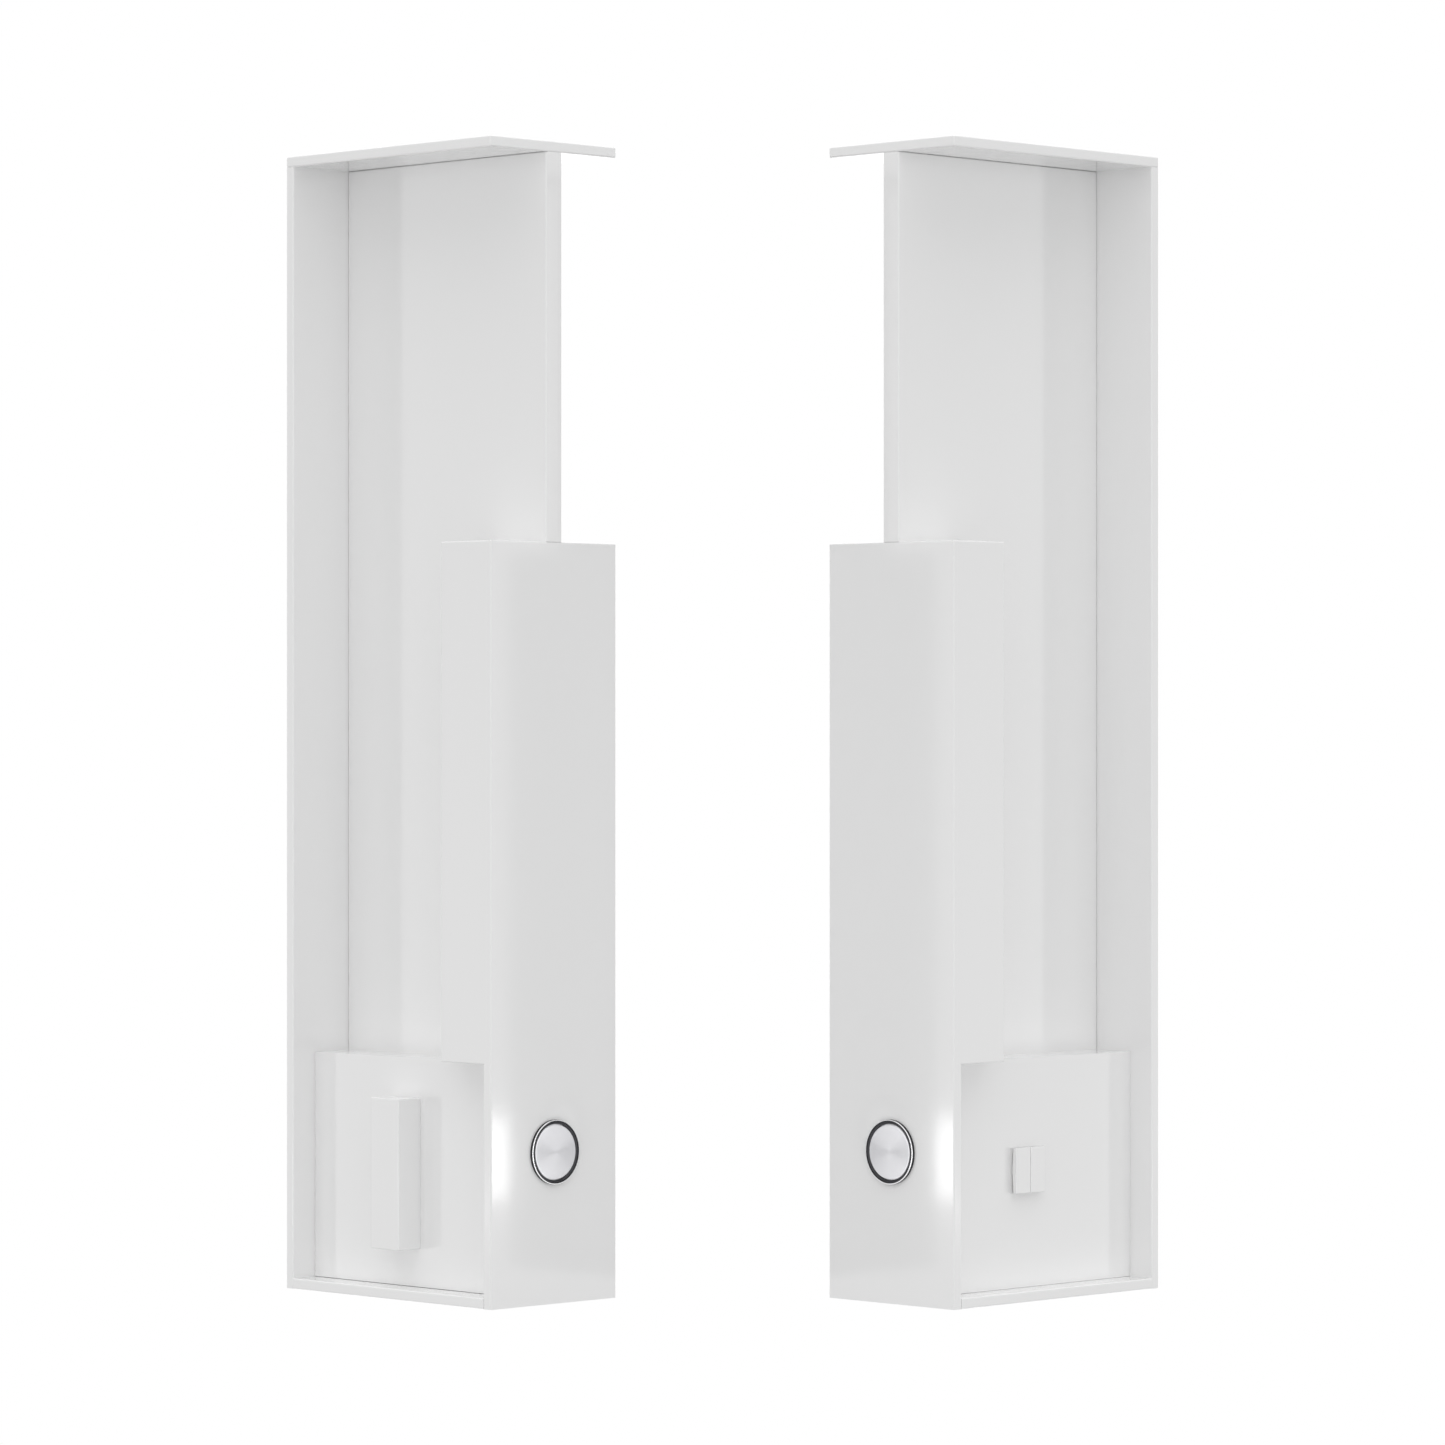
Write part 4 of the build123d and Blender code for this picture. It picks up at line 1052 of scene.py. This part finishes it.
    def add_chips(self, piece, face, low, high, settings):
        """One large chip with legs on all four sides and three with legs on two."""
        past, above, half = self.LARGE_CHIP
        y, z, lift = (low[1] + high[1]) / 2 + past, low[2] + above, settings.chip_lift
        self.part(piece, face, y, z, (0.0016, 2 * half, 2 * half), self.CHIP, lift=lift)
        deep, thin, long = self.LARGE_LEG
        for step in np.linspace(-0.8, 0.8, 11) * half:
            for edge in (-half - 0.0008, half + 0.0008):
                self.part(piece, face, y + step, z + edge, (deep, thin, long), self.TIN, self.LEG_SOFT)
                self.part(piece, face, y + edge, z + step, (deep, long, thin), self.TIN, self.LEG_SOFT)
        for chip in self.SMALL_CHIPS:
            y, z = self.place(low, high, *chip)
            self.part(piece, face, y, z, self.SMALL_CHIP, self.CHIP, lift=lift)
            for step in np.linspace(-0.42, 0.42, 8) * self.SMALL_CHIP[2]:
                for edge in (-0.0038, 0.0038):
                    self.part(piece, face, y + edge, z + step, self.SMALL_LEG, self.TIN, self.LEG_SOFT)

    def add_capacitors(self, piece, face, low, high):
        """Upright electrolytics: a sleeve rolled over a bare top, with a groove near the foot."""
        for y, z, radius, height in self.CAPACITORS:
            centre = (face, *self.place(low, high, y, z))
            roll = -height + 0.0003
            sleeve = [
                (0, 0), (radius, 0), (radius, -0.0012), (radius * 0.93, -0.0018), (radius, -0.0024),
                (radius, -height + 0.0008), (radius * 0.9, -height), (radius * 0.84, -height),
                (radius * 0.8, roll), (0, roll),
            ]
            piece.add(lathe(sleeve, centre, 28, axis=0), self.SLEEVE, capped=False)
            top, inside = -height - 0.0001, -height + 0.0004
            can = [(0, top), (radius * 0.78, top), (radius * 0.79, inside), (0, inside)]
            piece.add(lathe(can, centre, 28, axis=0), self.ALUMINIUM, capped=False)

    def add_small_parts(self, piece, face, low, high):
        """Rows of chip resistors and ceramic capacitors with tinned ends."""
        first_y, first_z = self.place(low, high, *self.SMALL_GRID)
        for row in range(5):
            y = first_y + row * self.SMALL_STEP[0]
            for column in range(4):
                z = first_z + column * self.SMALL_STEP[1]
                finish = self.CERAMIC if (row + column) % 3 == 0 else self.CHIP
                self.part(piece, face, y, z, self.SMALL_PART, finish, self.PART_SOFT)
                for edge in (-0.0011, 0.0011):
                    self.part(piece, face, y, z + edge, self.SMALL_END, self.TIN, self.PART_SOFT)


class GATE_OT_power_supply(bpy.types.Operator):
    """Power supply: pressed case and lid, ventilation louvres and a terminal strip"""

    bl_idname = "security_gate.power_supply"
    bl_label = "Power Supply"

    CASE, STRIP, TIN = range(3)
    SCREW = (                           # profile, from the recess over the crest to the foot
        (0, 0.0012), (0.001, 0.0012), (0.0012, 0.0018), (0.0026, 0.0016), (0.003, 0.001),
        (0.003, -0.001), (0, -0.001),
    )
    SCREW_INSET = 0.0034

    def execute(self, context):
        settings = context.scene.gate_supply
        for post in POSTS:
            low, high = post.span("power_supply")
            piece = Piece(post, "supply")
            lip, wall = settings.lid_depth, settings.sheet
            piece.add(rounded_block(low + (wall, wall, 0), high - (wall, wall, lip / 2), 0.0015, 0.0005))
            lid_low, lid_high = (low[0], low[1], high[2] - lip), high - (0, 0, settings.louvre_rise)
            piece.add(rounded_block(lid_low, lid_high, 0.002, 0.0008))
            self.add_louvres(piece, low, high, settings)
            self.add_strip(piece, low, high, settings)
            others = finish_of("black_plastic"), part_finish(*TINNED_LEAD)
            piece.build("post", "power_supply", "supply_case", *others)
        return {"FINISHED"}

    def add_louvres(self, piece, low, high, settings):
        """Raised rounded slots in two columns on the lid and one along each long side."""
        rise, wide, proud = settings.louvre_rise, settings.louvre_width, settings.slot_rise
        middle, half = (low[0] + high[0]) / 2, (high[0] - low[0]) / 2
        under, long = high[2] - 2 * rise, half * 0.32
        foot, head = low[2] + 0.008, high[2] - settings.lid_depth - 0.004
        first, last = low[1] + settings.front_margin, high[1] - settings.back_margin
        for y in np.linspace(first, last, settings.louvres):
            for side in (-1, 1):
                x = middle + side * half * 0.45
                lid_slot = (x - long, y - wide / 2, under), (x + long, y + wide / 2, high[2])
                piece.add(rounded_block(*lid_slot, wide / 2.1, rise * 0.9))
                x = middle + side * (half - settings.sheet)
                side_slot = (x - proud, y - wide / 4, foot), (x + proud, y + wide / 4, head)
                piece.add(rounded_block(*side_slot, wide / 4.2, 0.0004, axis=0))

    def add_strip(self, piece, low, high, settings):
        """A black strip across the back end, with barriers between its screws."""
        top = high[2] - settings.lid_depth
        foot, middle = top - settings.strip_height, top - settings.strip_height / 2
        margin, thin = 0.006, 0.0007
        across = np.linspace(low[0] + margin, high[0] - margin, settings.poles + 1)
        start = high[1] - settings.sheet - settings.strip_depth
        strip = (across[0], start, foot), (across[-1], high[1] - 0.0002, middle)
        piece.add(rounded_block(*strip, 0.0008, 0.0004), self.STRIP)
        for x in across:
            barrier = (x - thin, start, foot), (x + thin, high[1], top - 0.001)
            piece.add(rounded_block(*barrier, 0.0006, 0.0003), self.STRIP)
        for x in (across[1:] + across[:-1]) / 2:
            screw = lathe(self.SCREW, (x, high[1] - self.SCREW_INSET, middle), 18, axis=2)
            piece.add(screw, self.TIN, capped=False)


class GATE_OT_sounder(bpy.types.Operator):
    """Sounder under each shelf, with its mouth and rim"""

    bl_idname = "security_gate.sounder"
    bl_label = "Sounder"

    MOUTH = (0.2, 0.33)                 # its radius and depth, as shares of the case's
    GROOVE = (0.62, 0.64, 0.72, 0.74)   # across the face and up the side, as shares of radius and height

    def execute(self, context):
        for post in POSTS:
            low, high = post.span("sounder")
            centre = np.array([(low[0] + high[0]) / 2, (low[1] + high[1]) / 2, 0.0])
            radius, height = reach(post, "sounder"), float(high[2] - low[2])
            mouth, deep = self.MOUTH[0] * radius, low[2] + self.MOUTH[1] * height
            dip, waist, soft = 0.0008, radius * 0.95, radius * 0.1
            hole = [(0, deep), (mouth, deep), (mouth, low[2] + 0.0004), (mouth * 1.15, low[2])]
            face = [(radius * share, low[2] + sunk) for share, sunk in zip(self.GROOVE, (0, dip, dip, 0))]
            crest = arc((radius - soft, low[2] + soft), soft, -90, 0, 7)
            widths = (radius, waist, waist, radius)
            side = [(r, low[2] + height * share) for r, share in zip(widths, self.GROOVE)]
            profile = np.concatenate([hole, face, crest, side, [(radius, high[2]), (0, high[2])]])
            piece = Piece(post, "sounder_case")
            piece.add(lathe(profile, centre, 72, axis=2), capped=False)
            piece.build("post", "sounder", "black_plastic", crease=30)
        return {"FINISHED"}


class GATE_OT_antenna_coil(bpy.types.Operator):
    """Antenna winding inside each web, strand by strand"""

    bl_idname = "security_gate.antenna_coil"
    bl_label = "Antenna Coil"

    def execute(self, context):
        settings = context.scene.gate_coil
        for post in POSTS:
            low, high = post.span("antenna_coil")
            box_high = post.span("box_back")[1]
            gap = low[1] - post.span("web_tray")[0][1]
            piece = Piece(post, "winding")
            wide, deep = settings.bundle_width, float(high[0] - low[0])
            step_in, step_x = wide / settings.layers, deep / settings.strands
            wire = min(step_in, step_x) * 0.46
            for layer in range(settings.layers):
                inset = step_in * (layer + 0.5)
                front, box_edge, back = low[1] + inset, box_high[1] + gap + inset, high[1] - inset
                bottom, box_top, top = low[2] + inset, box_high[2] + gap + inset, high[2] - inset
                corners = [
                    (front, box_top), (box_edge, box_top), (box_edge, bottom), (back, bottom), (back, top),
                    (front, top),
                ]
                loop = rounded_loop(corners, settings.corner_radius, 9)
                for strand in range(settings.strands):
                    x = low[0] + step_x * (strand + 0.5)
                    path = np.stack([np.full(len(loop), x), loop[:, 0], loop[:, 1]], -1)
                    piece.add(tube(path, wire, 8, up=(1, 0, 0), closed=True), capped=False)
            piece.build("post", "antenna_coil", "coil_copper")
        return {"FINISHED"}


OPERATORS = (
    GATE_OT_stage, GATE_OT_finishes, GATE_OT_button_faces, GATE_OT_button_works, GATE_OT_controller_board,
    GATE_OT_power_supply, GATE_OT_sounder, GATE_OT_antenna_coil,
)


class GATE_PT_panel(bpy.types.Panel):
    """Lists what makes the gate"""

    bl_idname = "GATE_PT_panel"
    bl_label = "Security Gate"
    bl_space_type = "VIEW_3D"
    bl_region_type = "UI"
    bl_category = "Security Gate"

    def draw(self, context):
        for name in SETTINGS:
            group = getattr(context.scene, name)
            box = self.layout.box()
            for key in group.__annotations__:
                box.prop(group, key)
        for operator in OPERATORS:
            self.layout.operator(operator.bl_idname)


SETTINGS = {
    "gate_stage": GateStageSettings,
    "gate_finishes": GateFinishSettings,
    "gate_button": GateButtonSettings,
    "gate_board": GateBoardSettings,
    "gate_supply": GateSupplySettings,
    "gate_coil": GateCoilSettings,
}
CLASSES = (*SETTINGS.values(), *OPERATORS, GATE_PT_panel)


def register():
    for item in CLASSES:
        bpy.utils.register_class(item)
    for name, group in SETTINGS.items():
        setattr(bpy.types.Scene, name, PointerProperty(type=group))


def unregister():
    for name in SETTINGS:
        delattr(bpy.types.Scene, name)
    for item in reversed(CLASSES):
        bpy.utils.unregister_class(item)


def main():
    register()
    for operator in OPERATORS:
        group, action = operator.bl_idname.split(".")
        getattr(getattr(bpy.ops, group), action)()


if __name__ == "__main__":
    main()
